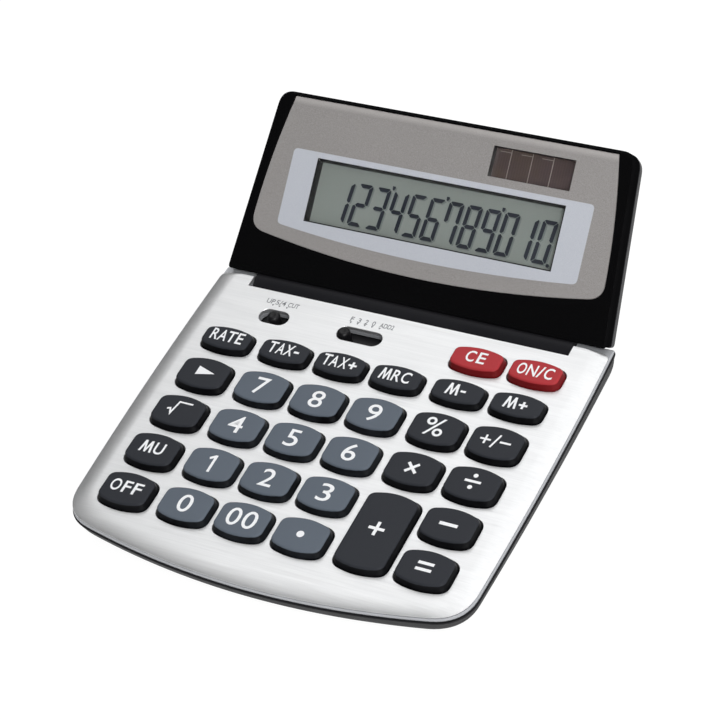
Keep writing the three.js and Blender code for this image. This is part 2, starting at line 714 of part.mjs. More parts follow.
// Circuit board with a tab for the ribbon cable
const postClear = postRadius + seatGap;
let board = toSolid(prism(planOutline(boardTuck, boardFrontTuck, boardRear), boardUnder, boardTop))
  .add(toSolid(box(
    ribbonLeft - ribbonPlay, ribbonRight + seatGap, boardRear - overrun, boardRear + boardTab,
    boardUnder, boardTop)));
for (const { x, y } of screwPlaces) {
  board = board.subtract(toSolid(upright(postClear, x, y, boardUnder - overrun, boardTop + overrun)));
}
addPiece(deck, 'main_board', fromSolid(board), boardGreen);

// Dome sheet: a thin rubber sheet with a dome under each key
const sheetLeft = rearRightScrewSide + postClear + sheetMargin;
const sheetStep = clearRowPlace - shortKeyDepth / 2 - sheetStepGap;
let domes = toSolid(prism(
  planOutline(boardTuck + sheetMargin, boardFrontTuck + sheetMargin, boardRear - sheetMargin),
  sheetUnder, sheetTop));
domes = domes.subtract(toSolid(box(
  -halfWidth, sheetLeft, sheetStep, earRear, sheetUnder - overrun, sheetTop + overrun)));
for (const { x, y } of keys) {
  const root = sheetThick / 2;
  const dome = new THREE.CylinderGeometry(domeTopRadius, domeFootRadius, domeHeight + root, domeSides);
  dome.rotateX(Math.PI / 2).translate(x, y, domeTop - (domeHeight + root) / 2);
  domes = domes.add(toSolid(dome));
}
addPiece(deck, 'dome_sheet', fromSolid(domes), siliconeGrey);

// Slide switches: a knob on a plate that always covers the slot, over a slider on the board
function slideSwitch(name, left, right, rest) {
  const travel = right - left - 2 * (knobRadius + knobPlay);
  const plateHalf = (right - left + travel) / 2;
  const plateUnder = flangeTop - switchPlateThick;
  const knob = toSolid(upright(knobRadius, rest, switchPlace, plateUnder, knobStand))
    .add(toSolid(box(
      rest - plateHalf, rest + plateHalf, switchPlace - switchPlateDepth / 2,
      switchPlace + switchPlateDepth / 2, plateUnder, flangeTop)))
    .add(toSolid(box(
      rest - sliderWidth / 2, rest + sliderWidth / 2, switchPlace - sliderDepth / 2,
      switchPlace + sliderDepth / 2, boardTop + seatGap, flangeTop)));
  addPiece(deck, name, fromSolid(knob), charcoal);
}
slideSwitch('rounding_switch', roundingSlotLeft, roundingSlotRight, roundingMiddle);
slideSwitch('decimal_switch', decimalSlotLeft, decimalSlotRight, decimalSlotLeft + knobRadius + knobPlay);

// Hinge pins, from each ear into the end of the barrel
function hingePin(name, side) {
  const inner = barrelHalf - pinInBarrel + seatGap;
  const outer = pinReach - seatGap;
  const pin = crossRod(pinRadius, side * (side > 0 ? inner : outer), side * (side > 0 ? outer : inner));
  addPiece(deck, name, pin.translate(0, hingePlace, -hingeDrop), steel);
}
hingePin('hinge_pin_left', -1);
hingePin('hinge_pin_right', 1);

// Display housing, in its own frame: y runs along the panel and z square to it. The front has a
// lip at its foot that hides the gap to the ears
function displayOutline(tuck, lip = 0) {
  const foot = displayFoot + tuck - lip;
  const top = displayFoot + displayLength - tuck;
  const footCorner = new THREE.Vector2(displayFootHalf - tuck, foot);
  const topCorner = new THREE.Vector2(displayTopHalf - tuck, top);
  const along = topCorner.clone().sub(footCorner).normalize();
  const footRound = displayFootCorner;
  const right = [
    ...bend(footCorner.clone().sub(new THREE.Vector2(footRound, 0)), footCorner,
      footCorner.clone().addScaledVector(along, footRound), 1),
    ...bend(topCorner.clone().addScaledVector(along, -displayTopCorner), topCorner,
      topCorner.clone().sub(new THREE.Vector2(displayTopCorner, 0)), 4),
  ];
  return mirrored(right);
}

function windowOutline(grow) {
  const top = windowTop + grow;
  const foot = windowFoot - grow;
  const topHalf = windowTopHalf + grow;
  const footHalf = windowFootHalf + grow;
  const steps = 4;
  const bottom = (x) => foot - windowFootBow * (1 - (x / footHalf) ** 2);
  const side = (y) => {
    const share = (y - foot) / (top - foot);
    return footHalf + (topHalf - footHalf) * share + windowSideBow * 4 * share * (1 - share);
  };
  const right = [];
  for (let i = 0; i < steps; i += 1) {
    const x = (footHalf - windowCorner) * i / steps;
    right.push(new THREE.Vector2(x, bottom(x)));
  }
  const cornerEnd = footHalf - windowCorner;
  right.push(...bend(new THREE.Vector2(cornerEnd, bottom(cornerEnd)), new THREE.Vector2(footHalf, foot),
    new THREE.Vector2(side(foot + windowCorner), foot + windowCorner), 3));
  for (let i = 1; i <= steps; i += 1) {
    const y = THREE.MathUtils.lerp(foot + windowCorner, top, i / steps);
    right.push(new THREE.Vector2(side(y), y));
  }
  return mirrored(right);
}

const windowFace = faceStand - windowSink;
const windowBack = windowFace - windowThick;
const recessFloor = windowBack - seatGap;
const bezelInner = faceStand - bezelThick;
const bezelParting = seatGap;
const lipLevel = faceStand - bezelEdge + bezelRound / 2;
let bezel = toSolid(loft([
  ringAt(displayOutline(0), bezelParting),
  ringAt(displayOutline(0), lipLevel - bezelLip),
  ringAt(displayOutline(0, bezelLip), lipLevel),
  ringAt(displayOutline(bezelRound / 2, bezelLip), faceStand - bezelRound / 2),
  ringAt(displayOutline(bezelEdge, bezelLip), faceStand),
]));
bezel = bezel.subtract(toSolid(prism(displayOutline(bezelWall), bezelParting - overrun, bezelInner)));
bezel = bezel.subtract(toSolid(prism(windowOutline(windowGap), recessFloor, faceStand + overrun)));
bezel = bezel.subtract(toSolid(box(
  -frameHalf - frameGap, frameHalf + frameGap, frameFoot - frameGap, frameTop + frameGap,
  bezelInner - overrun, recessFloor + overrun)));
addPiece(display, 'display_front', fromSolid(bezel), glossBlack);
addPiece(display, 'display_window', prism(windowOutline(0), windowBack, windowFace), taupe);

const frameFace = recessFloor;
const frameBack = frameFace - frameThick;
const frame = toSolid(box(-frameHalf, frameHalf, frameFoot, frameTop, frameBack, frameFace))
  .subtract(toSolid(box(
    -screenHalf, screenHalf, screenFoot, screenTop, frameBack - overrun, frameFace + overrun)))
  .subtract(toSolid(box(
    solarLeft, solarRight, solarFoot, solarTop, frameBack - overrun, frameFace + overrun)));
addPiece(display, 'lcd_frame', fromSolid(frame), paleFrame);
const glassFace = frameBack - seatGap;
addPiece(display, 'lcd_panel', box(
  -screenHalf - glassBorder, screenHalf + glassBorder, screenFoot - glassBorder, screenTop + glassBorder,
  glassFace - glassThick, glassFace), screenGreen);
addPiece(display, 'solar_cell', box(
  solarLeft - solarBorder, solarRight + solarBorder, solarFoot - solarBorder, solarTop + solarBorder,
  glassFace - solarThick, glassFace), solarBrown);

const backUnder = -backDepth;
let back = toSolid(loft([
  ringAt(displayOutline(backTuck), backUnder),
  ringAt(displayOutline(backEdgeTuck), -backEdge),
  ringAt(displayOutline(0), 0),
]));
back = back.add(toSolid(crossRod(barrelRadius, -barrelHalf, barrelHalf, barrelSides)));
back = back.add(toSolid(box(
  -barrelHalf, barrelHalf, 0, displayFoot + backTuck, -barrelRadius, 0)));
back = back.subtract(toSolid(loft([
  ringAt(displayOutline(backTuck + backThick), backUnder + backThick),
  ringAt(displayOutline(backEdgeTuck + bezelWall), -backEdge),
  ringAt(displayOutline(bezelWall), overrun),
])));
back = back.subtract(toSolid(box(
  -displayFootHalf, displayFootHalf, earRadius, displayFoot + displayLength, 0, faceStand + overrun)));
const channelRear = displayFoot + backTuck + bezelWall;
back = back.subtract(toSolid(box(
  ribbonLeft - ribbonPlay, ribbonRight + ribbonPlay, -barrelRadius - overrun, channelRear,
  ribbonLevel - ribbonChannel / 2, ribbonLevel + ribbonChannel / 2)));
const barrelBore = barrelHalf - pinInBarrel;
back = back.subtract(toSolid(crossRod(boreRadius, barrelBore, barrelHalf + overrun)));
back = back.subtract(toSolid(crossRod(boreRadius, -barrelHalf - overrun, -barrelBore)));
addPiece(display, 'display_back', fromSolid(back), caseGrey);

// Ribbon cable from the liquid crystal panel, through the barrel, to the board's tab
function onDeckPlace(along, square) {
  const place = new THREE.Vector2(along, square).rotateAround(new THREE.Vector2(), displayTilt);
  return place.add(new THREE.Vector2(hingePlace, -hingeDrop));
}
const ribbonLanding = boardTop + seatGap + ribbonThick / 2;
const ribbonPath = [
  onDeckPlace(screenFoot - glassBorder - seatGap, glassFace - glassThick / 2),
  onDeckPlace(displayFoot + 3 * bezelWall, ribbonLevel),
  onDeckPlace(-barrelRadius - seatGap, ribbonLevel),
  new THREE.Vector2(notchFront - notchWall / 2, ribbonLanding - ribbonThick),
  new THREE.Vector2(boardRear + boardTab, ribbonLanding),
  new THREE.Vector2(boardRear + seatGap, ribbonLanding),
];
const ribbonEdges = ribbonPath.map((point, i) => {
  const before = ribbonPath[Math.max(i - 1, 0)];
  const after = ribbonPath[Math.min(i + 1, ribbonPath.length - 1)];
  const across = after.clone().sub(before).normalize().rotateAround(new THREE.Vector2(), Math.PI / 2);
  return [ribbonThick / 2, -ribbonThick / 2].map((offset) => point.clone().addScaledVector(across, offset));
});
const ribbonOutline = [
  ...ribbonEdges.map(([upper]) => upper), ...ribbonEdges.map(([, lower]) => lower).reverse()];
addPiece(deck, 'ribbon_cable', crossPrism(ribbonOutline, ribbonLeft, ribbonRight), ribbonAmber);

// The origin is under the middle of the whole calculator, at the level that it stands on
const extent = new THREE.Box3().setFromObject(calculator, true);
calculator.position.y = -(extent.min.y + extent.max.y) / 2;

export default calculator;
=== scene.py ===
import json
import math

import bpy
from bpy.props import FloatProperty, FloatVectorProperty, PointerProperty, StringProperty
from mathutils import Matrix, Vector


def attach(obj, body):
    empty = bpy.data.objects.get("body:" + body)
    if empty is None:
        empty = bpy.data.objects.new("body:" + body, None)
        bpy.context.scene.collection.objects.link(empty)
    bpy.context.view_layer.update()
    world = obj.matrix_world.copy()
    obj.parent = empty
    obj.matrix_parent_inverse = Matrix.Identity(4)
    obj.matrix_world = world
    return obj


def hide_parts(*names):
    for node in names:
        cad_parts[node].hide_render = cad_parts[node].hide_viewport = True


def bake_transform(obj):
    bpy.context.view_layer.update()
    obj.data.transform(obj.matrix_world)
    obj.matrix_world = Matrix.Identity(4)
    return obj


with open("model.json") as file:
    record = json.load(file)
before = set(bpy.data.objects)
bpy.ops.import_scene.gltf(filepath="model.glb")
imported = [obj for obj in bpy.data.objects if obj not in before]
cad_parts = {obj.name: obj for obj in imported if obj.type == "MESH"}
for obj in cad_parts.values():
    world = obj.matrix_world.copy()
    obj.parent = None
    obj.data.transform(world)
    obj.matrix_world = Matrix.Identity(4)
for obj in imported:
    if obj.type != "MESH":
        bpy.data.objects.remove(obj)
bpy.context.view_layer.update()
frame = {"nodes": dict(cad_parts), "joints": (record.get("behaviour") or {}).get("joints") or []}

bl_info = {
    "name": "Desk Calculator",
    "version": (1, 0, 0),
    "blender": (4, 5, 0),
    "location": "View3D > Sidebar > Calculator",
    "description": "Models a desk calculator with a sloping key deck and a tilting display",
    "category": "Add Mesh",
}

MM = 0.001
JOINTS = {joint["name"]: joint for joint in frame["joints"]}

# Frames: the sloping key deck and the display panel, each with its own level plane.
# Shapes are given in millimetres in one of them, or level on the floor.
PRESS = Vector(JOINTS["key_0_press"]["axis"])
SLOPE = math.atan2(PRESS.y, -PRESS.z)
TILT = -math.radians(JOINTS["display_tilt"]["range_deg"][0])
HINGE = Vector(JOINTS["display_tilt"]["pos_m"])
HINGE_PLACE = 79.9
HINGE_DROP = 3.9
LEVEL = Matrix.Identity(4)
DECK = (Matrix.Translation(HINGE) @ Matrix.Rotation(SLOPE, 4, "X")
        @ Matrix.Translation(Vector((0, -HINGE_PLACE, HINGE_DROP)) * MM))
PANEL = Matrix.Translation(HINGE) @ Matrix.Rotation(SLOPE + TILT, 4, "X")
DECK_HEIGHT = (DECK @ Vector()).z / MM


def node_box(node, place):
    """Lowest and highest corner of a CAD node in a frame, in millimetres."""
    back = place.inverted()
    points = [back @ vertex.co / MM for vertex in frame["nodes"][node].data.vertices]
    return [Vector([pick(point[axis] for point in points) for axis in range(3)]) for pick in (min, max)]


def node_middle(node, place):
    low, high = node_box(node, place)
    return (low + high) / 2


# Plan of the case
HALF_WIDTH = 58
FRONT_EDGE = -17.1
FRONT_RADIUS = 218
SIDE_RADIUS = 1150
WIDEST_PLACE = 44
FRONT_CORNER = 8
REAR_CORNER = 2
COVER_REAR = 78.86
EAR_REAR = 82.67
EAR_RADIUS = 2.77
NOTCH_HALF = 47.5
NOTCH_FRONT = 75.3
TROUGH_LEVEL = -8.3
DECK_TOP = -1.3
DECK_UNDER = -2.4
TRIM_FOOT = -2.1
CASE_RIM = -2.7
BELLY_LEVEL = -4.7
FLOOR_LEVEL = 1.2
WALL = 1.6
CAVITY_REAR = 73.5
COVER_UNDER = -1
HOLE_TUCK = 0.1
HOLE_UNDER = -3
BAND_HOLE_EDGE = 0.1
SKIRT_FRONT = 1.2
SKIRT_REAR = 0.6
POST_RADIUS = 3.1
POST_TOP = -5.7
SCREW_BORE = 1.3
SCREW_WELL = 2.1
SCREW_WELL_ROOF = 1.5
FOOT_SOCKET = 4.3
FOOT_SOCKET_ROOF = 1.8
BATTERY_GAP = 0.3
BATTERY_WALL = 1.3
BATTERY_ROOM = 7.2
BATTERY_ROOF = 8.2
FULL_TILT = math.radians(55)

# Reach of the cutters, past all that they cut
OVERRUN = 1
CUT_DEEP = -25
CUT_WIDE = 62
CUT_FRONT = -20
PIN_BORE = 1.35
PIN_REACH = 55

# Keys
KEY_WIDTH = 14.75
MAIN_KEY = {"depth": 11.2, "bow": 1.45, "corner": 2}
TALL_KEY = {"depth": 25, "bow": 1.45, "corner": 2}
SHORT_KEY = {"depth": 8.4, "bow": 1.2, "corner": 1.8}
CROWN_SHARES = (0.97, 0.88, 0.74, 0.56, 0.36, 0.16)
FLANGE_TOP = -2.7
FLANGE_UNDER = -3.5
KEY_HOLE_GAP = 0.35
DIGIT_KEYS = ("0", "00", "1", "2", "3", "4", "5", "6", "7", "8", "9", "point")
RED_KEYS = ("ce", "on_c")
SHORT_KEYS = ("rate", "tax_minus", "tax_plus", "mrc", "m_minus", "m_plus", "ce", "on_c")
KEY_NAMES = sorted(node[4:] for node in frame["nodes"] if node.startswith("key_"))

# Slide switches: the ends of their slots and the places of their knobs, along the width
ROUNDING_SLOT = (-39.3, -30.3)
DECIMAL_SLOT = (-15.5, -2.1)
SLOT_RADIUS = 2.55
DECIMAL_KNOB = -13.5

# Display, along its panel from the hinge and square to it
DISPLAY_FOOT = 3.07
DISPLAY_TOP = 53.17
LIP = 0.55
DISPLAY_FOOT_HALF = 56.2
DISPLAY_TOP_HALF = 52.4
DISPLAY_WALL = 1.5
WINDOW_FOOT = 14.6
WINDOW_TOP = 52.1
WINDOW_FOOT_HALF = 52.2
WINDOW_TOP_HALF = 47.6
# Band along the top of the window whose ink is paler, as a painted highlight
HIGHLIGHT_STRIP_FOOT = 50
HIGHLIGHT_STRIP_TOP = 51.2
FACE = 4.05
WINDOW_FACE = 3.92
WINDOW_BACK = 3.02
SCREEN_FACE = 1.62
SCREEN = ((-36.4, 19.3), (36.4, 36.2))
SOLAR = ((13.1, 40.3), (36.6, 48.5))
WALL_RIM = 0.28
# How far the dark walls lean in over the screen and the solar cell, partly as painted shade of the walls'
# shadow
SCREEN_SHADE_LEAN = 0.4
SOLAR_SHADE_LEAN = 0.05
BORDER_HALF = 44.4
BORDER_TOP = 38.1
BORDER_FOOT = 14.6
BORDER_SIDE_FOOT = 16.9
BORDER_ROUND = 1.3
SOLAR_CUTS = (17.5, 23.6, 29.6)
SOLAR_BUS = 47.6
FRONT_ROOM_ROOF = 1.65
POCKET_FLOOR = 2.72
CELL_ROOM = ((-46, 14), (46, 49.5))
CELL_ROOM_LEVELS = (0.65, 3.72)
PANEL_CUT = 6
BARREL_RADIUS = 4
BARREL_HALF = 47.2
PIN_SEAT = 39.7
BARREL_NECK = 5.5
RIBBON_SLOT = ((-12.6, -5), (8.6, 7))
RIBBON_SLOT_LEVELS = (-2.1, -0.3)
BACK_LEVEL = -4.5
# Least share of the panel's normal at which a part of the bezel counts as its face; the rest takes the
# painted shade of its sides
FACING = 0.97

# Printing: its lift off a face, and how much the strokes of its letters swell
PRINT_LIFT = 0.012
PLAIN_STROKE = 0.004
BOLD_STROKE = 0.012


# Modelling helpers

def deselect_all():
    if bpy.context.object and bpy.context.object.mode != "OBJECT":
        bpy.ops.object.mode_set(mode="OBJECT")
    bpy.ops.object.select_all(action="DESELECT")


def only(*pieces):
    """Selects these pieces alone. The last one is active."""
    deselect_all()
    for piece in pieces:
        piece.select_set(True)
    bpy.context.view_layer.objects.active = pieces[-1]
    return pieces[-1]


def named(name):
    piece = bpy.context.object
    piece.name = piece.data.name = name
    return piece


def settle(piece, matrix):
    """Moves a piece by a matrix and puts its place into its mesh."""
    only(piece)
    piece.matrix_world = matrix
    bpy.ops.object.transform_apply(location=True, rotation=True, scale=True)
    return piece


def shape_lid(piece, ring, place):
    lid = next(face for face in piece.data.polygons if face.select)
    for corner, point in zip(lid.vertices, ring):
        piece.data.vertices[corner].co = place @ (Vector(point) * MM)


def turn_outwards(piece):
    only(piece)
    bpy.ops.object.mode_set(mode="EDIT")
    bpy.ops.mesh.select_all(action="SELECT")
    bpy.ops.mesh.normals_make_consistent(inside=False)
    bpy.ops.object.mode_set(mode="OBJECT")


def loft(name, rings, place=DECK):
    """A closed skin: a filled circle takes the first ring's shape and is extruded from ring to ring."""
    deselect_all()
    bpy.ops.mesh.primitive_circle_add(vertices=len(rings[0]), radius=MM, fill_type="NGON")
    piece = named(name)
    shape_lid(piece, rings[0], place)
    for ring in rings[1:]:
        bpy.ops.object.mode_set(mode="EDIT")
        bpy.ops.mesh.extrude_region_move()
        bpy.ops.object.mode_set(mode="OBJECT")
        shape_lid(piece, ring, place)
    turn_outwards(piece)
    return piece


def sheet_shape(name, outline, level=0, place=DECK):
    """A flat face with this outline."""
    deselect_all()
    bpy.ops.mesh.primitive_circle_add(vertices=len(outline), radius=MM, fill_type="NGON")
    piece = named(name)
    shape_lid(piece, ring_at(outline, level), place)
    turn_outwards(piece)
    return piece


def block(low, high, place=DECK):
    """A block between two corners, to cut or join."""
    deselect_all()
    bpy.ops.mesh.primitive_cube_add(size=MM)
    low, high = Vector(low), Vector(high)
    return settle(bpy.context.object, place @ Matrix.Translation((low + high) / 2 * MM)
                  @ Matrix.Diagonal((*(high - low), 1)))


def rod(radius, start, end, place=DECK):
    """A round rod from one point to another, to cut or join."""
    deselect_all()
    start, end = Vector(start), Vector(end)
    bpy.ops.mesh.primitive_cylinder_add(vertices=48, radius=radius * MM, depth=(end - start).length * MM)
    turn = (end - start).to_track_quat("Z", "Y").to_matrix().to_4x4()
    return settle(bpy.context.object, place @ Matrix.Translation((start + end) / 2 * MM) @ turn)


def joined(pieces):
    piece = only(*pieces)
    if len(pieces) > 1:
        bpy.ops.object.join()
    return piece


def carve(piece, tools, operation="DIFFERENCE"):
    """Cuts a piece with its tools, or joins them, and removes the tools."""
    tool = joined(tools)
    only(piece)
    change = piece.modifiers.new("Carve", "BOOLEAN")
    change.operation = operation
    change.solver = "EXACT"
    change.object = tool
    bpy.ops.object.modifier_apply(modifier=change.name)
    bpy.data.objects.remove(tool)


def thicken(piece, thickness):
    only(piece)
    change = piece.modifiers.new("Thickness", "SOLIDIFY")
    change.thickness = thickness * MM
    change.offset = 1
    bpy.ops.object.modifier_apply(modifier=change.name)
    return piece


def smooth(piece, angle=35):
    only(piece)
    bpy.ops.object.shade_smooth_by_angle(angle=math.radians(angle))
    change = piece.modifiers.new("Normals", "WEIGHTED_NORMAL")
    change.keep_sharp = True
    bpy.ops.object.modifier_apply(modifier=change.name)
    return piece


def printed(name, outlines, level, thickness, place=DECK):
    """A thin printed layer of several outlines."""
    layer = joined([sheet_shape(name, outline, level, place) for outline in outlines])
    layer.name = layer.data.name = name
    return thicken(layer, thickness)


def copy_of(piece, name):
    only(piece)
    bpy.ops.object.duplicate(linked=False)
    return named(name)


def complete(piece, material, body, replaces=()):
    """Gives a finished piece its material and its body, and hides the nodes that it stands for."""
    piece.data.materials.clear()
    piece.data.materials.append(material)
    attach(piece, body)
    if replaces:
        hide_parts(*replaces)


# Outlines in millimetres

def bend(start, corner, end, steps):
    """Points of a smooth curve that leaves start and reaches end, drawn towards corner."""
    points = []
    for step in range(steps + 1):
        share = step / steps
        points.append(tuple(
            a * (1 - share) ** 2 + b * 2 * share * (1 - share) + c * share ** 2
            for a, b, c in zip(start, corner, end)))
    return points


def mirrored(half):
    """The right half of an outline, drawn from front to rear, with its left half."""
    return half + [(-x, y) for x, y in reversed(half) if x > 1e-5]


def ring_at(outline, level):
    return [(x, y, level) for x, y in outline]


def plan_outline(tuck, front_tuck=None, rear=EAR_REAR):
    """The case's outline from above, tucked in from its widest form."""
    front_tuck = tuck if front_tuck is None else front_tuck

    def front(x):
        return FRONT_EDGE + front_tuck + x * x / (2 * FRONT_RADIUS)

    def side(y):
        return HALF_WIDTH - tuck - (y - WIDEST_PLACE) ** 2 / (2 * SIDE_RADIUS)

    corner_x = side(front(HALF_WIDTH - tuck))
    corner_y = front(corner_x)
    start_x = corner_x - FRONT_CORNER
    half = [(start_x * step / 14, front(start_x * step / 14)) for step in range(14)]
    end_y = corner_y + FRONT_CORNER
    half += bend((start_x, front(start_x)), (corner_x, corner_y), (side(end_y), end_y), 12)
    side_end = rear - REAR_CORNER
    for step in range(1, 12):
        y = end_y + (side_end - end_y) * step / 12
        half.append((side(y), y))
    rear_x = side(rear)
    half += bend((side(side_end), side_end), (rear_x, rear), (rear_x - REAR_CORNER, rear), 5)
    return mirrored(half)


def key_outline(grow, depth, bow, corner, grow_depth=None):
    """A key's outline, with straight sides, and front and rear edges that bow outwards."""
    half = KEY_WIDTH / 2 + grow
    half_depth = depth / 2 + (grow if grow_depth is None else grow_depth)
    corner = max(corner + grow, corner / 2)

    def edge(x):
        return half_depth - bow * (x / half) ** 2

    right = bend((half, edge(half) - corner), (half, edge(half)), (half - corner, edge(half - corner)), 7)
    middle = [(x, edge(x)) for x in ((half - corner) * share for share in (0.75, 0.5, 0.25, 0))]
    middle += [(-x, y) for x, y in reversed(middle[:-1])]
    rear = right + middle + [(-x, y) for x, y in reversed(right)]
    return rear + [(-x, -y) for x, y in rear]


def moved(outline, x, y):
    return [(px + x, py + y) for px, py in outline]


def scaled(outline, share):
    return [(x * share, y * share) for x, y in outline]


def circle(radius, x=0, y=0, steps=48):
    turns = [2 * math.pi * step / steps for step in range(steps)]
    return [(x + radius * math.cos(turn), y + radius * math.sin(turn)) for turn in turns]


def pill(left, right, y, radius, steps=12):
    """A slot outline with round ends."""
    turns = [math.pi * step / steps - math.pi / 2 for step in range(steps + 1)]
    half = [(right - radius + radius * math.cos(turn), y + radius * math.sin(turn)) for turn in turns]
    middle = (left + right) / 2
    return half + [(2 * middle - px, 2 * y - py) for px, py in half]


def rounded_box(left, bottom, right, top, radius, steps=5):
    corners = [(right, top), (left, top), (left, bottom), (right, bottom)]
    outline = []
    for index, (x, y) in enumerate(corners):
        inward_x = -1 if x == right else 1
        inward_y = -1 if y == top else 1
        start, end = (x, y + inward_y * radius), (x + inward_x * radius, y)
        if index % 2:
            start, end = end, start
        outline += bend(start, (x, y), end, steps)
    return outline


def box_ring(low, high, grow, radius, level):
    """A rounded box around two corners, grown by a distance, at a level."""
    return ring_at(rounded_box(low.x - grow, low.y - grow, high.x + grow, high.y + grow, radius), level)


def cross_outline(length, thick, turn=0, x=0, y=0):
    """A plus sign, turned for a times sign."""
    long, short = length / 2, thick / 2
    outline = []
    for step in range(4):
        angle = math.radians(90 * step + turn)
        across, up = math.cos(angle), math.sin(angle)
        outline += [(x + px * across - py * up, y + px * up + py * across)
                    for px, py in ((long, -short), (long, short), (short, short))]
    return outline


def bar_outline(length, thick, x=0, y=0):
    long, short = length / 2, thick / 2
    return [(x - long, y - short), (x + long, y - short), (x + long, y + short), (x - long, y + short)]


def stroke_outline(points, thick):
    """A line drawn along points, with mitred turns."""
    points = [Vector(point) for point in points]
    sides = ([], [])
    for index, point in enumerate(points):
        before = (point - points[index - 1]).normalized() if index else None
        after = (points[index + 1] - point).normalized() if index + 1 < len(points) else None
        before, after = before or after, after or before
        normal_before, normal_after = Vector((-before.y, before.x)), Vector((-after.y, after.x))
        mitre = (normal_before + normal_after).normalized()
        reach = thick / 2 / mitre.dot(normal_after)
        sides[0].append(tuple(point + mitre * reach))
        sides[1].append(tuple(point - mitre * reach))
    return sides[0] + sides[1][::-1]


def encloses(outline, point):
    """Whether a point lies inside an outline, by the sides that a line from it crosses."""
    crossings = 0
    for (x1, y1), (x2, y2) in zip(outline, outline[1:] + outline[:1]):
        if (y1 > point.y) != (y2 > point.y) and point.x < x1 + (point.y - y1) / (y2 - y1) * (x2 - x1):
            crossings += 1
    return crossings % 2 == 1


def display_outline(tuck, lip=0):
    foot, top = DISPLAY_FOOT + tuck - lip, DISPLAY_TOP - tuck
    foot_corner = Vector((DISPLAY_FOOT_HALF - tuck, foot))
    top_corner = Vector((DISPLAY_TOP_HALF - tuck, top))
    along = (top_corner - foot_corner).normalized()
    foot_round, top_round = 1, 4
    right = bend(foot_corner - Vector((foot_round, 0)), foot_corner, foot_corner + along * foot_round, 4)
    right += bend(top_corner - along * top_round, top_corner, top_corner - Vector((top_round, 0)), 10)
    return mirrored(right)


def window_outline(grow, top_drop=0):
    top, foot = WINDOW_TOP + grow - top_drop, WINDOW_FOOT - grow
    top_half, foot_half = WINDOW_TOP_HALF + grow, WINDOW_FOOT_HALF + grow
    corner, side_bow, foot_bow = 4, 0.9, 4.6

    def bottom(x):
        return foot - foot_bow * (1 - (x / foot_half) ** 2)

    def side(y):
        share = (y - foot) / (WINDOW_TOP + grow - foot)
        return foot_half + (top_half - foot_half) * share + side_bow * 4 * share * (1 - share)

    corner_x = foot_half - corner
    right = [(corner_x * step / 12, bottom(corner_x * step / 12)) for step in range(12)]
    right += bend((corner_x, bottom(corner_x)), (foot_half, foot), (side(foot + corner), foot + corner), 8)
    for step in range(1, 13):
        y = foot + corner + (top - foot - corner) * step / 12
        right.append((side(y), y))
    return mirrored(right)


# Materials

def rgb(red, green, blue):
    """A colour as a screen shows it, from 0 to 255, in the linear values that shaders take."""
    def linear(value):
        value /= 255
        return value / 12.92 if value <= 0.04045 else ((value + 0.055) / 1.055) ** 2.4
    return (linear(red), linear(green), linear(blue))


def add_node(tree, kind, inputs=(), **settings):
    """A shader node whose inputs are set to values or wired to other nodes."""
    node = tree.nodes.new("ShaderNode" + kind)
    for setting, value in settings.items():
        setattr(node, setting, value)
    for socket, value in dict(inputs).items():
        if isinstance(value, bpy.types.NodeSocket):
            tree.links.new(value, node.inputs[socket])
        else:
            node.inputs[socket].default_value = value
    return node


class Finish:
    """A material, with short ways to wire the nodes of its pattern."""

    def __init__(self, name, colour, roughness, **sockets):
        self.material = bpy.data.materials.new(name)
        self.material.use_nodes = True
        self.tree = self.material.node_tree
        self.shader = self.tree.nodes["Principled BSDF"]
        self.colour = (*colour, 1)
        self.shader.inputs["Base Color"].default_value = self.colour
        self.shader.inputs["Roughness"].default_value = roughness
        for socket, value in sockets.items():
            self.shader.inputs[socket.replace("_", " ")].default_value = value
        self.material.diffuse_color = self.colour

    def node(self, kind, inputs=(), **settings):
        return add_node(self.tree, kind, inputs, **settings)

    def place(self, stretch=(1, 1, 1), turn=0):
        """Places on the piece, in metres, turned about the width and stretched."""
        coordinates = self.node("TexCoord").outputs["Object"]
        turned = self.node("Mapping", {"Vector": coordinates, "Rotation": (-turn, 0, 0)})
        return self.node("Mapping", {"Vector": turned.outputs["Vector"], "Scale": stretch}).outputs["Vector"]

    def noise(self, scale, stretch=(1, 1, 1), turn=0, detail=3, roughness=0.55):
        return self.node("TexNoise", {
            "Vector": self.place(stretch, turn), "Scale": scale, "Detail": detail, "Roughness": roughness,
        }).outputs["Fac"]

    def range(self, value, low, high, start=0.3, end=0.7):
        return self.node("MapRange", {
            "Value": value, "From Min": start, "From Max": end, "To Min": low, "To Max": high,
        }).outputs["Result"]

    def tint(self, value, colour):
        """The base colour goes to another one as the value goes from 0 to 1."""
        mix = self.node("Mix", data_type="RGBA")
        base = self.shader.inputs["Base Color"]
        if base.links:
            self.tree.links.new(base.links[0].from_socket, mix.inputs[6])
        else:
            mix.inputs[6].default_value = base.default_value
        mix.inputs[7].default_value = (*colour, 1)
        self.tree.links.new(value, mix.inputs[0])
        self.tree.links.new(mix.outputs[2], base)

    def rough(self, value):
        self.tree.links.new(value, self.shader.inputs["Roughness"])

    def bump(self, height, depth, strength=1):
        bump = self.node("Bump", {"Height": height, "Distance": depth * MM, "Strength": strength})
        if self.shader.inputs["Normal"].links:
            self.tree.links.new(self.shader.inputs["Normal"].links[0].from_socket, bump.inputs["Normal"])
        self.tree.links.new(bump.outputs["Normal"], self.shader.inputs["Normal"])


FINISHES = {}


def moulded(name, colour, roughness=0.5, grain=2200, depth=0.02, **sockets):
    """Moulded plastic with a fine grain and a faint change of tone."""
    finish = Finish(name, colour, roughness, **sockets)
    grains = finish.noise(grain, detail=2)
    finish.bump(grains, depth)
    clouds = finish.noise(60)
    finish.rough(finish.range(clouds, roughness * 0.88, roughness * 1.12))
    finish.tint(finish.range(clouds, 0, 0.5), tuple(min(1, value * 1.12 + 0.002) for value in colour))
    return finish.material


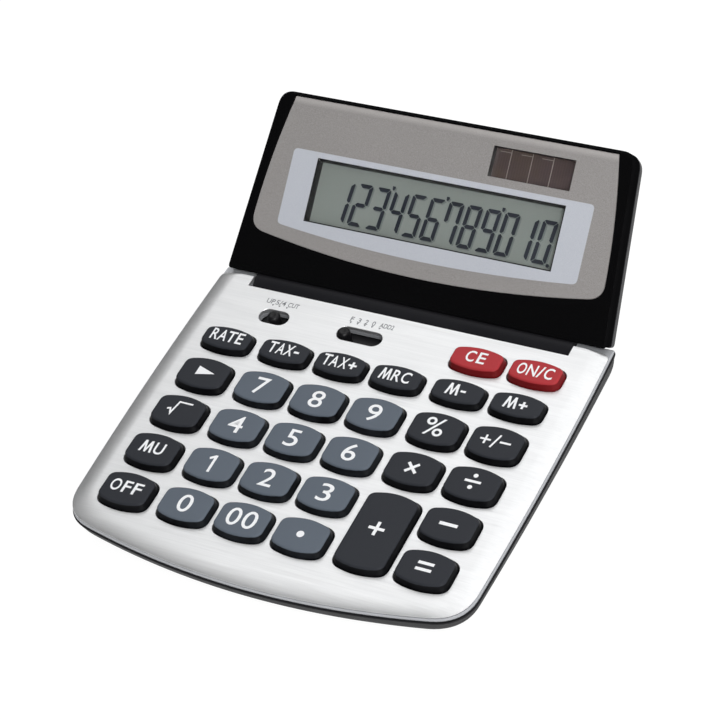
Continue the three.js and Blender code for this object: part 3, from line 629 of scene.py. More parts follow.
def make_brushed_cover(colour):
    """Aluminium sheet brushed along the width of the calculator."""
    finish = Finish("brushed_cover", colour, 0.36, Metallic=0.82)
    streaks = finish.noise(1, (45, 2600, 2600), SLOPE, detail=4, roughness=0.7)
    bands = finish.noise(1, (12, 420, 420), SLOPE)
    finish.rough(finish.range(streaks, 0.3, 0.46))
    finish.tint(finish.range(streaks, 0, 0.22), tuple(value * 0.72 for value in colour))
    finish.tint(finish.range(bands, 0, 0.12), (1, 1, 1))
    finish.bump(streaks, 0.008)
    return finish.material


def key_paint(name, top, side):
    """Paint on the top of a key, over plastic that shows at its sides. The darker red at the sides of the red
    keys is painted shade.
    """
    finish = Finish(name, side, 0.42, Specular_IOR_Level=0.1)
    normal = DECK.to_3x3() @ Vector((0, 0, 1))
    height = finish.node("VectorMath", operation="DOT_PRODUCT")
    finish.tree.links.new(finish.node("TexCoord").outputs["Object"], height.inputs[0])
    height.inputs[1].default_value = normal
    face = normal.dot(DECK @ Vector())
    ragged = finish.range(finish.noise(900), -0.04 * MM, 0.04 * MM)
    level = finish.node("Math", {0: height.outputs["Value"], 1: ragged}, operation="ADD").outputs["Value"]
    finish.tint(finish.range(level, 0, 1, face + 1.5 * MM, face + 1.78 * MM), top)
    clouds = finish.noise(140)
    finish.tint(finish.range(clouds, 0, 0.07), tuple(min(1, value * 1.5 + 0.02) for value in top))
    finish.rough(finish.range(clouds, 0.36, 0.47))
    finish.bump(finish.noise(2600, detail=2), 0.012)
    return finish.material


def make_gloss_black(colour):
    finish = Finish("gloss_black", colour, 0.1, Specular_IOR_Level=0.3)
    clouds = finish.noise(90)
    finish.rough(finish.range(clouds, 0.08, 0.16))
    finish.bump(finish.noise(160), 0.004)
    specks = finish.range(finish.noise(3000), 0, 0.3, 0.6, 0.8)
    finish.tint(specks, tuple(value * 1.8 + 0.003 for value in colour))
    return finish.material


def make_window_print(name, colour, deeper, strip):
    """Ink on the underside of a clear hard window, which gives it its gloss, with a painted highlight that
    pales it along its top strip.
    """
    finish = Finish(name, colour, 0.5, Coat_Weight=1.0, Coat_Roughness=0.03, Coat_IOR=1.49)
    finish.tint(finish.range(finish.noise(35), 0, 0.35), deeper)
    finish.tint(finish.range(finish.noise(5200, detail=1), 0, 0.14), (1, 1, 1))
    up = (PANEL.to_3x3() @ Vector((0, 1, 0))).normalized()
    start = up.dot(HINGE)
    places = finish.node("TexCoord").outputs["Object"]
    along = finish.node("VectorMath", {0: places, 1: up}, operation="DOT_PRODUCT").outputs["Value"]
    # Painted highlight: the ink goes paler along the top strip, where the sloping edge of the window catches
    # the light
    finish.tint(finish.range(along, 0, 0.4, start + HIGHLIGHT_STRIP_FOOT * MM, start + HIGHLIGHT_STRIP_TOP * MM), strip)
    finish.rough(finish.range(finish.noise(400), 0.42, 0.55))
    return finish.material


def make_clear():
    finish = Finish("clear_pane", (1, 1, 1), 0.0, Transmission_Weight=1.0, IOR=1.45)
    finish.bump(finish.noise(25), 0.0015)
    return finish.material


def make_screen_glass(colour):
    """The grey-green polariser of the liquid crystal panel."""
    finish = Finish("lcd_glass", colour, 0.32, Coat_Weight=0.5, Coat_Roughness=0.08)
    finish.tint(finish.range(finish.noise(4200, detail=1), 0, 0.2), tuple(value * 0.86 for value in colour))
    finish.tint(finish.range(finish.noise(28), 0, 0.25), tuple(min(1, value * 1.12) for value in colour))
    finish.bump(finish.noise(5200, detail=1), 0.004)
    return finish.material


def make_solar_glass(colour, gleam):
    """Dark cells with fine lines across them, behind glass."""
    finish = Finish("solar_glass", colour, 0.3, Coat_Weight=1.0, Coat_Roughness=0.04)
    wave = finish.node("TexWave", {"Vector": finish.place((1, 1, 1), SLOPE + TILT), "Scale": 420.0,
                                   "Distortion": 0.4}, bands_direction="X")
    finish.tint(finish.range(wave.outputs["Fac"], 0, 0.25), tuple(value * 1.7 for value in colour))
    finish.tint(finish.range(finish.noise(120), 0, 0.3), gleam)
    return finish.material


def make_steel(colour):
    """Turned and plated steel."""
    finish = Finish("steel", colour, 0.3, Metallic=1.0)
    turned = finish.noise(1, (900, 900, 90))
    finish.rough(finish.range(turned, 0.22, 0.4))
    finish.bump(turned, 0.006)
    finish.tint(finish.range(finish.noise(300), 0, 0.3), tuple(value * 0.7 for value in colour))
    return finish.material


def make_board(colour):
    """Solder mask with copper tracks showing through it."""
    finish = Finish("circuit_board", colour, 0.35, Coat_Weight=0.4, Coat_Roughness=0.15)
    tracks = finish.node("TexVoronoi", {"Vector": finish.place((1, 1, 1), SLOPE), "Scale": 260.0},
                         feature="DISTANCE_TO_EDGE", distance="CHEBYCHEV")
    finish.tint(finish.range(tracks.outputs["Distance"], 0, 0.6, 0.08, 0.12), tuple(v * 1.7 for v in colour))
    finish.bump(tracks.outputs["Distance"], 0.05, 0.3)
    finish.tint(finish.range(finish.noise(80), 0, 0.4), tuple(value * 0.6 for value in colour))
    return finish.material


def make_ribbon(colour, track):
    """Amber film with copper tracks along it."""
    finish = Finish("ribbon", colour, 0.35, Coat_Weight=0.5, Coat_Roughness=0.1)
    wave = finish.node("TexWave", {"Vector": finish.place(), "Scale": 160.0}, bands_direction="X")
    finish.tint(finish.range(wave.outputs["Fac"], 0, 0.7, 0.55, 0.65), track)
    finish.bump(wave.outputs["Fac"], 0.03, 0.5)
    return finish.material


def legend_ink(name, colour):
    """Printed ink, a little uneven."""
    finish = Finish(name, colour, 0.5)
    finish.tint(finish.range(finish.noise(700), 0, 0.2), tuple(value * 0.8 for value in colour))
    finish.bump(finish.noise(1800, detail=2), 0.006)
    return finish.material


def paint(node, material):
    """Gives a CAD node that stays its material."""
    mesh = frame["nodes"][node].data
    mesh.materials.clear()
    mesh.materials.append(material)


# Sizes and colours that a user would change

def length(name, description, value):
    return FloatProperty(name=name, description=description, default=value * MM, min=0, unit="LENGTH",
                         subtype="DISTANCE", precision=5)


def colour(name, description, red, green, blue):
    return FloatVectorProperty(name=name, description=description, default=rgb(red, green, blue), min=0,
                               max=1, size=3, subtype="COLOR")


class CalculatorSizes(bpy.types.PropertyGroup):
    """Sizes of the details that finish the pieces"""
    key_stand: length("Key height", "How far the top edge of a key stands above the cover", 2.05)
    key_draft: length("Key draft", "How far the sides of a key lean in", 0.45)
    key_edge: length("Key edge", "Width of the rounded top edge of a key", 0.55)
    key_crown: length("Key crown", "How far the middle of a key rises above its edge", 0.1)
    ink: length("Ink thickness", "How far the printed legends stand proud", 0.03)
    roll_width: length("Cover roll width", "Width of the rolled edge of the cover", 5)
    roll_drop: length("Cover roll drop", "How far the edge of the cover rolls down", 0.8)
    hole_edge: length("Key hole edge", "Width of the turned edge of each key hole", 0.1)
    bezel_edge: length("Bezel edge", "Width of the rounded edge of the display's front", 0.75)
    window_strip: length("Window top strip", "Width of the sloping strip along the top of the window", 1.3)


class CalculatorColours(bpy.types.PropertyGroup):
    """Colours of the finishes"""
    cover: colour("Cover", "Brushed metal cover", 232, 233, 234)
    trim: colour("Trim", "Silver band under the cover", 176, 178, 182)
    case: colour("Case", "Lower case and its battery door", 36, 36, 38)
    barrel: colour("Display back", "Back shell and hinge barrel of the display", 32, 32, 35)
    digit_key: colour("Digit keys", "Tops of the digit keys", 94, 102, 112)
    dark_key: colour("Function keys", "Tops of the dark keys", 48, 50, 55)
    red_key: colour("Clearing keys", "Tops of the red keys", 172, 55, 60)
    key_side: colour("Key sides", "Plastic at the sides of the grey keys", 3, 3, 5)
    # Painted shade: the red keys' sides take a darker red than their tops, where less light falls
    red_side: colour("Red key sides", "Plastic at the sides of the red keys", 110, 18, 22)
    legend: colour("Legends", "Ink of the legends on the keys", 244, 245, 247)
    label: colour("Switch labels", "Ink of the labels by the slide switches", 122, 124, 128)
    knob: colour("Switch knobs", "Plastic of the slide switches", 16, 16, 18)
    bezel: colour("Bezel", "Glossy front of the display", 11, 11, 12)
    # Painted shade: the bezel's edges and sides take a copy of its black without reflection, so their
    # highlight stays dark
    bezel_side: colour("Bezel sides", "Edges and sides of the display's front", 13, 13, 14)
    window: colour("Window", "Ink of the display window", 142, 138, 136)
    window_deep: colour("Window shade", "Deeper tone of the display window", 130, 127, 125)
    # The window top strip colour is a painted highlight along the top of the window
    window_strip: colour("Window top strip", "Ink that shines along the top of the window", 205, 200, 198)
    window_frame: colour("Window frame", "Ink around the screen", 190, 194, 203)
    frame_deep: colour("Window frame shade", "Deeper tone of the ink around the screen", 181, 185, 194)
    wall: colour("Screen wall", "Dark walls around the screen and the solar cell", 14, 14, 15)
    screen: colour("Screen", "Background of the liquid crystal panel", 117, 123, 119)
    digits: colour("Digits", "Shown segments of the liquid crystal panel", 14, 20, 33)
    digit_shadow: colour("Digit shadows", "Shadows of the segments on the panel's back", 98, 104, 101)
    solar: colour("Solar cell", "Cells behind the window", 66, 56, 50)
    solar_gleam: colour("Solar gleam", "Violet gleam of the cells", 60, 50, 70)
    solar_line: colour("Solar lines", "Contacts between the cells", 128, 122, 116)
    steel: colour("Steel", "Screws, pins, contacts and the cell", 197, 199, 200)
    board: colour("Circuit board", "Solder mask", 34, 92, 52)
    dome: colour("Dome sheet", "Silicone rubber", 150, 150, 148)
    ribbon: colour("Ribbon cable", "Polyimide film", 178, 120, 48)
    track: colour("Ribbon tracks", "Copper under the film", 120, 70, 30)
    rubber: colour("Feet", "Rubber feet", 30, 30, 31)


class CalculatorOperator:
    """What each step shares: it reads the sizes and colours, and finishes at once."""
    bl_options = {"REGISTER", "UNDO"}

    def execute(self, context):
        self.sizes = context.scene.calculator_sizes
        self.colours = context.scene.calculator_colours
        self.build(context)
        return {"FINISHED"}

    def size(self, name):
        """A size in millimetres."""
        return getattr(self.sizes, name) / MM


class CALCULATOR_OT_finishes(CalculatorOperator, bpy.types.Operator):
    """Makes the materials"""
    bl_idname = "calculator.finishes"
    bl_label = "Make Finishes"

    def build(self, context):
        tones = {name: tuple(getattr(self.colours, name)) for name in CalculatorColours.__annotations__}
        FINISHES.update(
            brushed_cover=make_brushed_cover(tones["cover"]),
            trim_silver=moulded("trim_silver", tones["trim"], 0.38, 2600, 0.008, Metallic=0.3),
            case_grey=moulded("case_grey", tones["case"], 0.55, 2000, 0.03, Specular_IOR_Level=0.15),
            barrel_grey=moulded("barrel_grey", tones["barrel"], 0.42, 2400, 0.012, Specular_IOR_Level=0.1),
            bezel_side=moulded("bezel_side", tones["bezel_side"], 0.4, 2400, 0.012, Specular_IOR_Level=0.0),
            switch_black=moulded("switch_black", tones["knob"], 0.4, 2400, 0.012, Specular_IOR_Level=0.3),
            key_slate=key_paint("key_slate", tones["digit_key"], tones["key_side"]),
            key_charcoal=key_paint("key_charcoal", tones["dark_key"], tones["key_side"]),
            key_red=key_paint("key_red", tones["red_key"], tones["red_side"]),
            key_ink=legend_ink("key_ink", tones["legend"]),
            label_ink=legend_ink("label_ink", tones["label"]),
            gloss_black=make_gloss_black(tones["bezel"]),
            window_taupe=make_window_print("window_taupe", tones["window"], tones["window_deep"],
                                           tones["window_strip"]),
            pale_frame=make_window_print("pale_frame", tones["window_frame"], tones["frame_deep"],
                                         tones["window_strip"]),
            clear_pane=make_clear(),
            screen_wall=moulded("screen_wall", tones["wall"]),
            lcd_glass=make_screen_glass(tones["screen"]),
            lcd_ink=legend_ink("lcd_ink", tones["digits"]),
            lcd_shadow=legend_ink("lcd_shadow", tones["digit_shadow"]),
            solar_glass=make_solar_glass(tones["solar"], tones["solar_gleam"]),
            solar_line=legend_ink("solar_line", tones["solar_line"]),
            steel=make_steel(tones["steel"]),
            circuit_board=make_board(tones["board"]),
            silicone=moulded("silicone", tones["dome"], 0.75, 1800, 0.02, Subsurface_Weight=0.1),
            ribbon=make_ribbon(tones["ribbon"], tones["track"]),
            foot_rubber=moulded("foot_rubber", tones["rubber"], 0.85, 1500, 0.05),
        )


def key_shape(name):
    if name == "plus":
        return TALL_KEY
    return SHORT_KEY if name in SHORT_KEYS else MAIN_KEY


def key_finish(name):
    if name in RED_KEYS:
        return "key_red"
    return "key_slate" if name in DIGIT_KEYS else "key_charcoal"


class CALCULATOR_OT_keys(CalculatorOperator, bpy.types.Operator):
    """Models the three shapes of key once and copies them to their places"""
    bl_idname = "calculator.keys"
    bl_label = "Add Keys"

    def model(self, depth, bow, corner):
        stand, draft = self.size("key_stand"), self.size("key_draft")
        edge, crown = self.size("key_edge"), self.size("key_crown")
        rings = [ring_at(key_outline(grow, depth, bow, corner, deep), level) for grow, deep, level in (
            (0.2, 0.6, FLANGE_UNDER), (0.3, 0.7, FLANGE_UNDER + 0.1), (0.3, 0.7, FLANGE_TOP),
            (0, 0, FLANGE_TOP), (0, 0, 0))]
        for step in range(6):
            turn = math.pi / 2 * step / 5
            grow = -draft - edge * (1 - math.cos(turn))
            rings.append(ring_at(key_outline(grow, depth, bow, corner), stand - edge * (1 - math.sin(turn))))
        rim = key_outline(-draft - edge, depth, bow, corner)
        for share in CROWN_SHARES:
            rings.append(ring_at(scaled(rim, share), stand + crown * (1 - share ** 2)))
        return smooth(loft("key_model", rings), 40)

    def build(self, context):
        for shape in (MAIN_KEY, SHORT_KEY, TALL_KEY):
            model = self.model(**shape)
            for name in KEY_NAMES:
                if key_shape(name) is not shape:
                    continue
                node = "key_" + name
                middle = node_middle(node, DECK)
                middle.z = 0
                key = settle(copy_of(model, "cap_" + name), Matrix.Translation(DECK.to_3x3() @ (middle * MM)))
                kind = key_finish(name)
                complete(key, FINISHES[kind], node, [node])
            bpy.data.objects.remove(model)


# Words on keys: their height, the place of their middle, and each letter's left and right side
WORDS = {
    "off": (3.8, 0.3, (("O", -4.6, -1.7), ("F", -0.95, 1.3), ("F", 2.05, 4.5))),
    "mu": (3.8, 0.3, (("M", -3.55, 0.1), ("U", 0.5, 3.35))),
    "rate": (3.85, 0.4, (("R", -4.65, -2.5), ("A", -2.4, 0.05), ("T", 0.1, 2.7), ("E", 3.05, 5.0))),
    "tax_minus": (3.8, 0.35, (("T", -4.65, -2.3), ("A", -2.1, 0.1), ("X", 0.25, 2.7), ("-", 2.95, 4.45))),
    "tax_plus": (3.8, 0.35, (("T", -5.0, -2.7), ("A", -2.65, -0.4), ("X", 0.0, 2.3), ("+", 2.65, 5.0))),
    "mrc": (3.8, 0.2, (("M", -4.6, -1.4), ("R", -1.0, 1.3), ("C", 1.65, 4.1))),
    "m_minus": (3.8, 0.2, (("M", -3.05, 0.55), ("-", 0.95, 2.4))),
    "m_plus": (3.8, 0.2, (("M", -3.35, 0.2), ("+", 0.65, 3.0))),
    "ce": (3.8, 0.2, (("C", -2.9, -0.4), ("E", 0.4, 2.7))),
    "on_c": (3.8, 0, (("O", -4.85, -2.45), ("N", -2.0, 0.5), ("/", 0.85, 2.35), ("C", 2.7, 5.1))),
    "percent": (5.9, 0.25, (("%", -3.1, 2.4),)),
    "00": (5.6, 0.05, (("0", -4.2, -0.45), ("0", 0.3, 4.15))),
}
# Left and right side of each digit that has a key to itself
DIGIT_SIDES = {
    "0": (-1.95, 1.95), "2": (-1.85, 1.95), "3": (-1.9, 1.85), "4": (-2.1, 2.1), "5": (-1.85, 1.85),
    "6": (-1.95, 1.95), "7": (-1.95, 1.95), "8": (-1.95, 1.95), "9": (-1.95, 1.95),
}
WORDS.update({digit: (5.6, 0.05, ((digit, *sides),)) for digit, sides in DIGIT_SIDES.items()})
# Letters drawn as outlines, as shares of their width and height
LETTERS = {
    "M": [(0, 0), (0.165, 0), (0.28, 0.62), (0.435, 0), (0.565, 0), (0.72, 0.62), (0.835, 0), (1, 0),
          (0.835, 1), (0.665, 1), (0.5, 0.33), (0.335, 1), (0.165, 1)],
}
# Signs on keys, as outlines
SIGNS = {
    "point": [circle(1.0)],
    "1": [[(0.75, -2.8), (0.75, 2.8), (0.1, 2.8), (-1.35, 1.8), (-1.0, 1.15), (0.0, 1.8), (0.0, -2.8)]],
    "times": [cross_outline(4.2, 0.8, 45)],
    "divide": [bar_outline(4.4, 0.75, 0, 0.4), circle(0.62, 0, 2.3, 24), circle(0.62, 0, -1.5, 24)],
    "minus": [bar_outline(4.9, 0.95, 0, -0.1)],
    "equals": [bar_outline(4.3, 0.85, 0, 1.07), bar_outline(4.3, 0.85, 0, -0.85)],
    "plus": [cross_outline(4.3, 0.85, 0, 0, 0.35)],
    "sign": [cross_outline(2.9, 0.55, 0, -2.75, 0.25), stroke_outline([(-0.7, -1.95), (0.7, 2.45)], 0.5),
             bar_outline(3.0, 0.6, 2.7, 0.25)],
    "root": [stroke_outline([(-3.2, -0.3), (-2.36, 0.04), (-1.64, -1.5), (-0.79, 2.6), (3.2, 2.6)], 0.5)],
    "arrow": [[(-1.93, 1.86), (-1.93, -1.2), (3.36, 0.2)]],
}


def text_shape(name, words, width, height, x, y, weight, level):
    """Words as flat faces, at their width and height, centred on a point of the deck."""
    deselect_all()
    bpy.ops.object.text_add()
    piece = named(name)
    piece.data.body = words
    piece.data.offset = weight
    piece.data.resolution_u = 4
    only(piece)
    bpy.ops.object.convert(target="MESH")
    piece = bpy.context.object
    xs = [vertex.co.x for vertex in piece.data.vertices]
    ys = [vertex.co.y for vertex in piece.data.vertices]
    high = height / (max(ys) - min(ys))
    wide = width / (max(xs) - min(xs))
    middle = Vector(((max(xs) + min(xs)) / 2, (max(ys) + min(ys)) / 2, 0))
    settle(piece, DECK @ Matrix.Translation(Vector((x, y, level)) * MM)
           @ Matrix.Diagonal((wide * MM, high * MM, MM, 1)) @ Matrix.Translation(-middle))
    bpy.ops.object.mode_set(mode="EDIT")
    bpy.ops.mesh.select_all(action="SELECT")
    bpy.ops.mesh.remove_doubles(threshold=1e-6)
    bpy.ops.object.mode_set(mode="OBJECT")
    bpy.ops.object.shade_flat()
    return piece


class CALCULATOR_OT_legends(CalculatorOperator, bpy.types.Operator):
    """Prints the words, digits and signs on the keys"""
    bl_idname = "calculator.legends"
    bl_label = "Print Legends"

    def letter(self, letter, left, right, height, x, y, level):
        """One letter between its left and right sides, about a point of the deck."""
        width, middle = right - left, (left + right) / 2
        if letter == "-":
            return sheet_shape("legend", bar_outline(width, 0.65, x + middle, y - 0.2), level)
        if letter == "+":
            return sheet_shape("legend", cross_outline(width, 0.62, 0, x + middle, y - 0.2), level)
        if letter in LETTERS:
            outline = [(x + left + share * width, y + (rise - 0.5) * height)
                       for share, rise in LETTERS[letter]]
            return sheet_shape("legend", outline, level)
        weight = PLAIN_STROKE if letter.isdigit() or letter == "%" else BOLD_STROKE
        return text_shape("legend", letter, width, height, x + middle, y, weight, level)

    def build(self, context):
        level = self.size("key_stand") + self.size("key_crown") + PRINT_LIFT
        for name in KEY_NAMES:
            middle = node_middle("key_" + name, DECK)
            if name in WORDS:
                height, rise, letters = WORDS[name]
                parts = [self.letter(*letter, height, middle.x, middle.y + rise, level) for letter in letters]
            else:
                parts = [sheet_shape("legend", moved(outline, middle.x, middle.y), level)
                         for outline in SIGNS[name]]
            legend = joined(parts)
            legend.name = legend.data.name = "legend_" + name
            thicken(legend, self.size("ink"))
            complete(legend, FINISHES["key_ink"], "key_" + name)


def ear_keep():
    """What the display leaves of the case when it swings past the ears, as one long block."""
    arc = [(HINGE_PLACE + EAR_RADIUS * math.cos(FULL_TILT * share / 6),
            -HINGE_DROP + EAR_RADIUS * math.sin(FULL_TILT * share / 6)) for share in range(7)]
    drop = (OVERRUN + HINGE_DROP) * math.sin(FULL_TILT)
    slope_end = HINGE_PLACE + (EAR_RADIUS - drop) / math.cos(FULL_TILT)
    outline = [(CUT_FRONT, CUT_DEEP), (EAR_REAR, CUT_DEEP), *arc, (slope_end, OVERRUN), (CUT_FRONT, OVERRUN)]
    return loft("ear_keep", [[(x, y, z) for y, z in outline] for x in (-CUT_WIDE, CUT_WIDE)])


def notch(level, front=NOTCH_FRONT):
    """The room between the ears for the hinge barrel, down to a level."""
    return block((-NOTCH_HALF, front, level), (NOTCH_HALF, EAR_REAR + OVERRUN, OVERRUN))


def pin_bore():
    """The bore for the hinge pins through both ears."""
    return rod(PIN_BORE, (-PIN_REACH, HINGE_PLACE, -HINGE_DROP), (PIN_REACH, HINGE_PLACE, -HINGE_DROP))


def opening_cutters(edge):
    """Cutters for the key holes and the switch slots, which flare at the face."""
    cutters = []
    steps = [(-HOLE_TUCK, HOLE_UNDER), (-HOLE_TUCK, -edge * 1.3), (edge * 0.35 - HOLE_TUCK, -edge * 0.5),
             (edge * 2.3 - HOLE_TUCK, edge)]
    for name in KEY_NAMES:
        middle = node_middle("key_" + name, DECK)
        cutters.append(loft("hole", [
            ring_at(moved(key_outline(KEY_HOLE_GAP + grow, **key_shape(name)), middle.x, middle.y), level)
            for grow, level in steps]))
    y = node_middle("rounding_switch", DECK).y
    for left, right in (ROUNDING_SLOT, DECIMAL_SLOT):
        cutters.append(loft("slot", [
            ring_at(pill(left - grow, right + grow, y, SLOT_RADIUS + grow), level) for grow, level in steps]))
    return cutters


class CALCULATOR_OT_cover(CalculatorOperator, bpy.types.Operator):
    """Models the cover plate with its rolled edge and its openings"""
    bl_idname = "calculator.cover"
    bl_label = "Add Cover"

    def build(self, context):
        width, drop = self.size("roll_width"), self.size("roll_drop")
        rings = [ring_at(plan_outline(tuck, rear=COVER_REAR), level) for tuck, level in (
            (1.4, COVER_UNDER), (0.4, COVER_UNDER), (0.1, COVER_UNDER + 0.03), (0, COVER_UNDER + 0.1),
            (0.03, -drop), (0.13, -drop * 0.955))]
        for share in (0.94, 0.87, 0.79, 0.7, 0.6, 0.5, 0.4, 0.3, 0.2, 0.1, 0):
            tuck = width * (1 - share)
            rings.append(ring_at(plan_outline(tuck, rear=COVER_REAR), -drop * share ** 2))
        cover = loft("cover_plate", rings)
        carve(cover, [notch(TROUGH_LEVEL)])
        carve(cover, opening_cutters(self.size("hole_edge")))
        complete(smooth(cover, 32), FINISHES["brushed_cover"], "base", ["top_cover"])


class CALCULATOR_OT_case(CalculatorOperator, bpy.types.Operator):
    """Models the upper case with its silver band and the lower case with its rounded belly"""
    bl_idname = "calculator.case"
    bl_label = "Add Case"

    def upper(self):
        band = loft("band_case", [ring_at(plan_outline(tuck), level) for tuck, level in (
            (-0.08, DECK_UNDER), (-0.2, DECK_UNDER + 0.12), (-0.18, DECK_UNDER + 0.35), (-0.12, TRIM_FOOT),
            (-0.04, DECK_TOP - 0.14), (0.06, DECK_TOP))])
        carve(band, [block((-BARREL_HALF, NOTCH_FRONT - SKIRT_FRONT, TROUGH_LEVEL + 0.3),
                           (BARREL_HALF, NOTCH_FRONT + SKIRT_REAR, DECK_UNDER + 0.7))], "UNION")
        carve(band, [notch(TROUGH_LEVEL - OVERRUN)])
        carve(band, [ear_keep()], "INTERSECT")
        carve(band, [pin_bore()])
        carve(band, opening_cutters(BAND_HOLE_EDGE))
        complete(smooth(band), FINISHES["trim_silver"], "base", ["upper_case"])
        band.data.materials.append(FINISHES["case_grey"])
        inside = plan_outline(0.7)
        for face in band.data.polygons:
            place = (DECK.inverted() @ face.center) / MM
            if place.z < TRIM_FOOT and not encloses(inside, place):
                face.material_index = 1

    def skin(self, name, thick, lift, rear, top):
        """The lower case's bowl, from its level floor to its rim, which follows the deck."""
        def floor_at(y):
            return (FLOOR_LEVEL + lift - DECK_HEIGHT - y * math.sin(SLOPE)) / math.cos(SLOPE)

        def turned(start, turn, end, share):
            return start * (1 - share) ** 2 + turn * 2 * share * (1 - share) + end * share ** 2

        rings = []
        for step in range(11):
            share = step / 10
            outline = plan_outline(turned(8, 1, 0.2, share) + thick, turned(4.5, 1, 0.2, share) + thick,
                                   rear - turned(1.5, 0.75, 0, share))
            rings.append([(x, y, turned(floor_at(y), (floor_at(y) + BELLY_LEVEL) / 2, BELLY_LEVEL, share))
                          for x, y in outline])
        rim = ring_at(plan_outline(thick - 0.4, rear=rear), top)
        if thick:
            return loft(name, rings + [rim])
        below = ring_at(plan_outline(-0.38, rear=rear), top - 0.2)
        return loft(name, rings + [below, ring_at(plan_outline(-0.24, rear=rear), top)])

    def post(self, case, x, y):
        """A screw post that ends at the case's own skin."""
        column = rod(POST_RADIUS, (x, y, CUT_DEEP), (x, y, POST_TOP))
        carve(column, [self.skin("outer", 0, 0, EAR_REAR, CASE_RIM)], "INTERSECT")
        carve(case, [column], "UNION")

    def battery_room(self, case):
        low, high = node_box("battery_door", LEVEL)
        for grow, under, roof, operation in ((BATTERY_WALL, FLOOR_LEVEL + 0.4, BATTERY_ROOF, "UNION"),
                                             (BATTERY_GAP, 0, BATTERY_ROOM, "DIFFERENCE")):
            box = block((low.x - grow, low.y - grow, under), (high.x + grow, high.y + grow, roof), LEVEL)
            carve(case, [box], operation)

    def lower(self):
        case = self.skin("belly_case", 0, 0, EAR_REAR, CASE_RIM)
        carve(case, [self.skin("room", WALL, WALL, CAVITY_REAR, CASE_RIM + OVERRUN)])
        screws = [node for node in frame["nodes"] if node.startswith("case_screw_")]
        for node in screws:
            middle = node_middle(node, DECK)
            self.post(case, middle.x, middle.y)
        self.battery_room(case)
        for node in screws:
            x, y = node_middle(node, DECK).xy
            head = node_box(node, DECK)[0].z
            carve(case, [rod(SCREW_WELL, (x, y, CUT_DEEP), (x, y, head + SCREW_WELL_ROOF))])
            carve(case, [rod(SCREW_BORE, (x, y, CUT_DEEP), (x, y, 0))])
        for node in frame["nodes"]:
            if node.startswith("foot_"):
                x, y = node_middle(node, LEVEL).xy
                carve(case, [rod(FOOT_SOCKET, (x, y, 0), (x, y, FOOT_SOCKET_ROOF), LEVEL)])
        carve(case, [notch(TROUGH_LEVEL, CAVITY_REAR - 0.3)])
        carve(case, [ear_keep()], "INTERSECT")
        carve(case, [pin_bore()])
        complete(smooth(case), FINISHES["case_grey"], "base", ["bottom_case"])

    def build(self, context):
        self.upper()
        self.lower()


# Profiles of the small parts, as radii and levels
FOOT_PROFILE = ((4, 1.5), (4, 0.45), (3.94, 0.22), (3.78, 0.07), (3.55, 0), (2.9, 0), (2.7, 0.18),
                (1.2, 0.24))
SCREW_HEAD = 1.2
DOOR_SCREW_HEAD = 0.8
SCREW_SLOT = (1.1, 0.22)
SCREW_SLOT_DEEP = 0.55
DOOR_WELL = ((2.1, 0.95), (2.1, 0.25), (2.4, 0), (2.4, -1))
DOOR_GRIP = ((0.2, 0.3), (0.42, 0), (0.42, -1))
DOOR_CUT = 4
DOOR_GRIPS = 5
GRIP_HALF = 4.5
GRIP_FIRST = 2.2
GRIP_STEP = 1.3


class CALCULATOR_OT_underside(CalculatorOperator, bpy.types.Operator):
    """Models the feet, the screws and the battery door"""
    bl_idname = "calculator.underside"
    bl_label = "Add Underside"

    def feet(self):
        for node in sorted(frame["nodes"]):
            if not node.startswith("foot_"):
                continue
            foot = node_middle(node, LEVEL)
            pad = loft(node.replace("foot", "pad"), [
                ring_at(circle(radius, foot.x, foot.y, 56), level) for radius, level in FOOT_PROFILE], LEVEL)
            complete(smooth(pad), FINISHES["foot_rubber"], "base", [node])

    def screw(self, node, place):
        low, high = node_box(node, place)
        x, y = ((low + high) / 2).xy
        shoulder = low.z + (DOOR_SCREW_HEAD if node == "battery_door_screw" else SCREW_HEAD)
        rings = [(0.4, high.z), (0.8, high.z - 0.5), (1, high.z - 0.8), (1, shoulder), (1.8, shoulder),
                 (1.8, low.z + 0.5), (1.72, low.z + 0.25), (1.5, low.z + 0.08), (1.1, low.z)]
        screw = loft(node.replace("screw", "fastener"), [
            ring_at(circle(radius, x, y, 32), level) for radius, level in rings], place)
        for long, wide in (SCREW_SLOT, SCREW_SLOT[::-1]):
            carve(screw, [block((x - long, y - wide, low.z - OVERRUN),
                                (x + long, y + wide, low.z + SCREW_SLOT_DEEP), place)])
        complete(smooth(screw), FINISHES["steel"], "base", [node])

    def door(self):
        low, high = node_box("battery_door", LEVEL)
        door = loft("battery_hatch", [box_ring(low, high, grow, 1.2, level) for grow, level in (
            (0, high.z), (0, low.z + 0.2), (-0.06, low.z + 0.06), (-0.2, low.z))], LEVEL)
        x, y = node_middle("battery_door_screw", LEVEL).xy
        carve(door, [loft("well", [
            ring_at(circle(radius, x, y), low.z + rise) for radius, rise in DOOR_WELL], LEVEL)])
        carve(door, [rod(SCREW_BORE, (x, y, 0), (x, y, DOOR_CUT), LEVEL)])
        for step in range(DOOR_GRIPS):
            groove = low.y + GRIP_FIRST + GRIP_STEP * step
            carve(door, [loft("grip", [
                ring_at(pill(x - GRIP_HALF, x + GRIP_HALF, groove, radius, 6), low.z + rise)
                for radius, rise in DOOR_GRIP], LEVEL)])
        complete(smooth(door), FINISHES["case_grey"], "base", ["battery_door"])

    def build(self, context):
        self.feet()
        for node in sorted(frame["nodes"]):
            if node.startswith("case_screw_"):
                self.screw(node, DECK)
        self.screw("battery_door_screw", LEVEL)
        self.door()


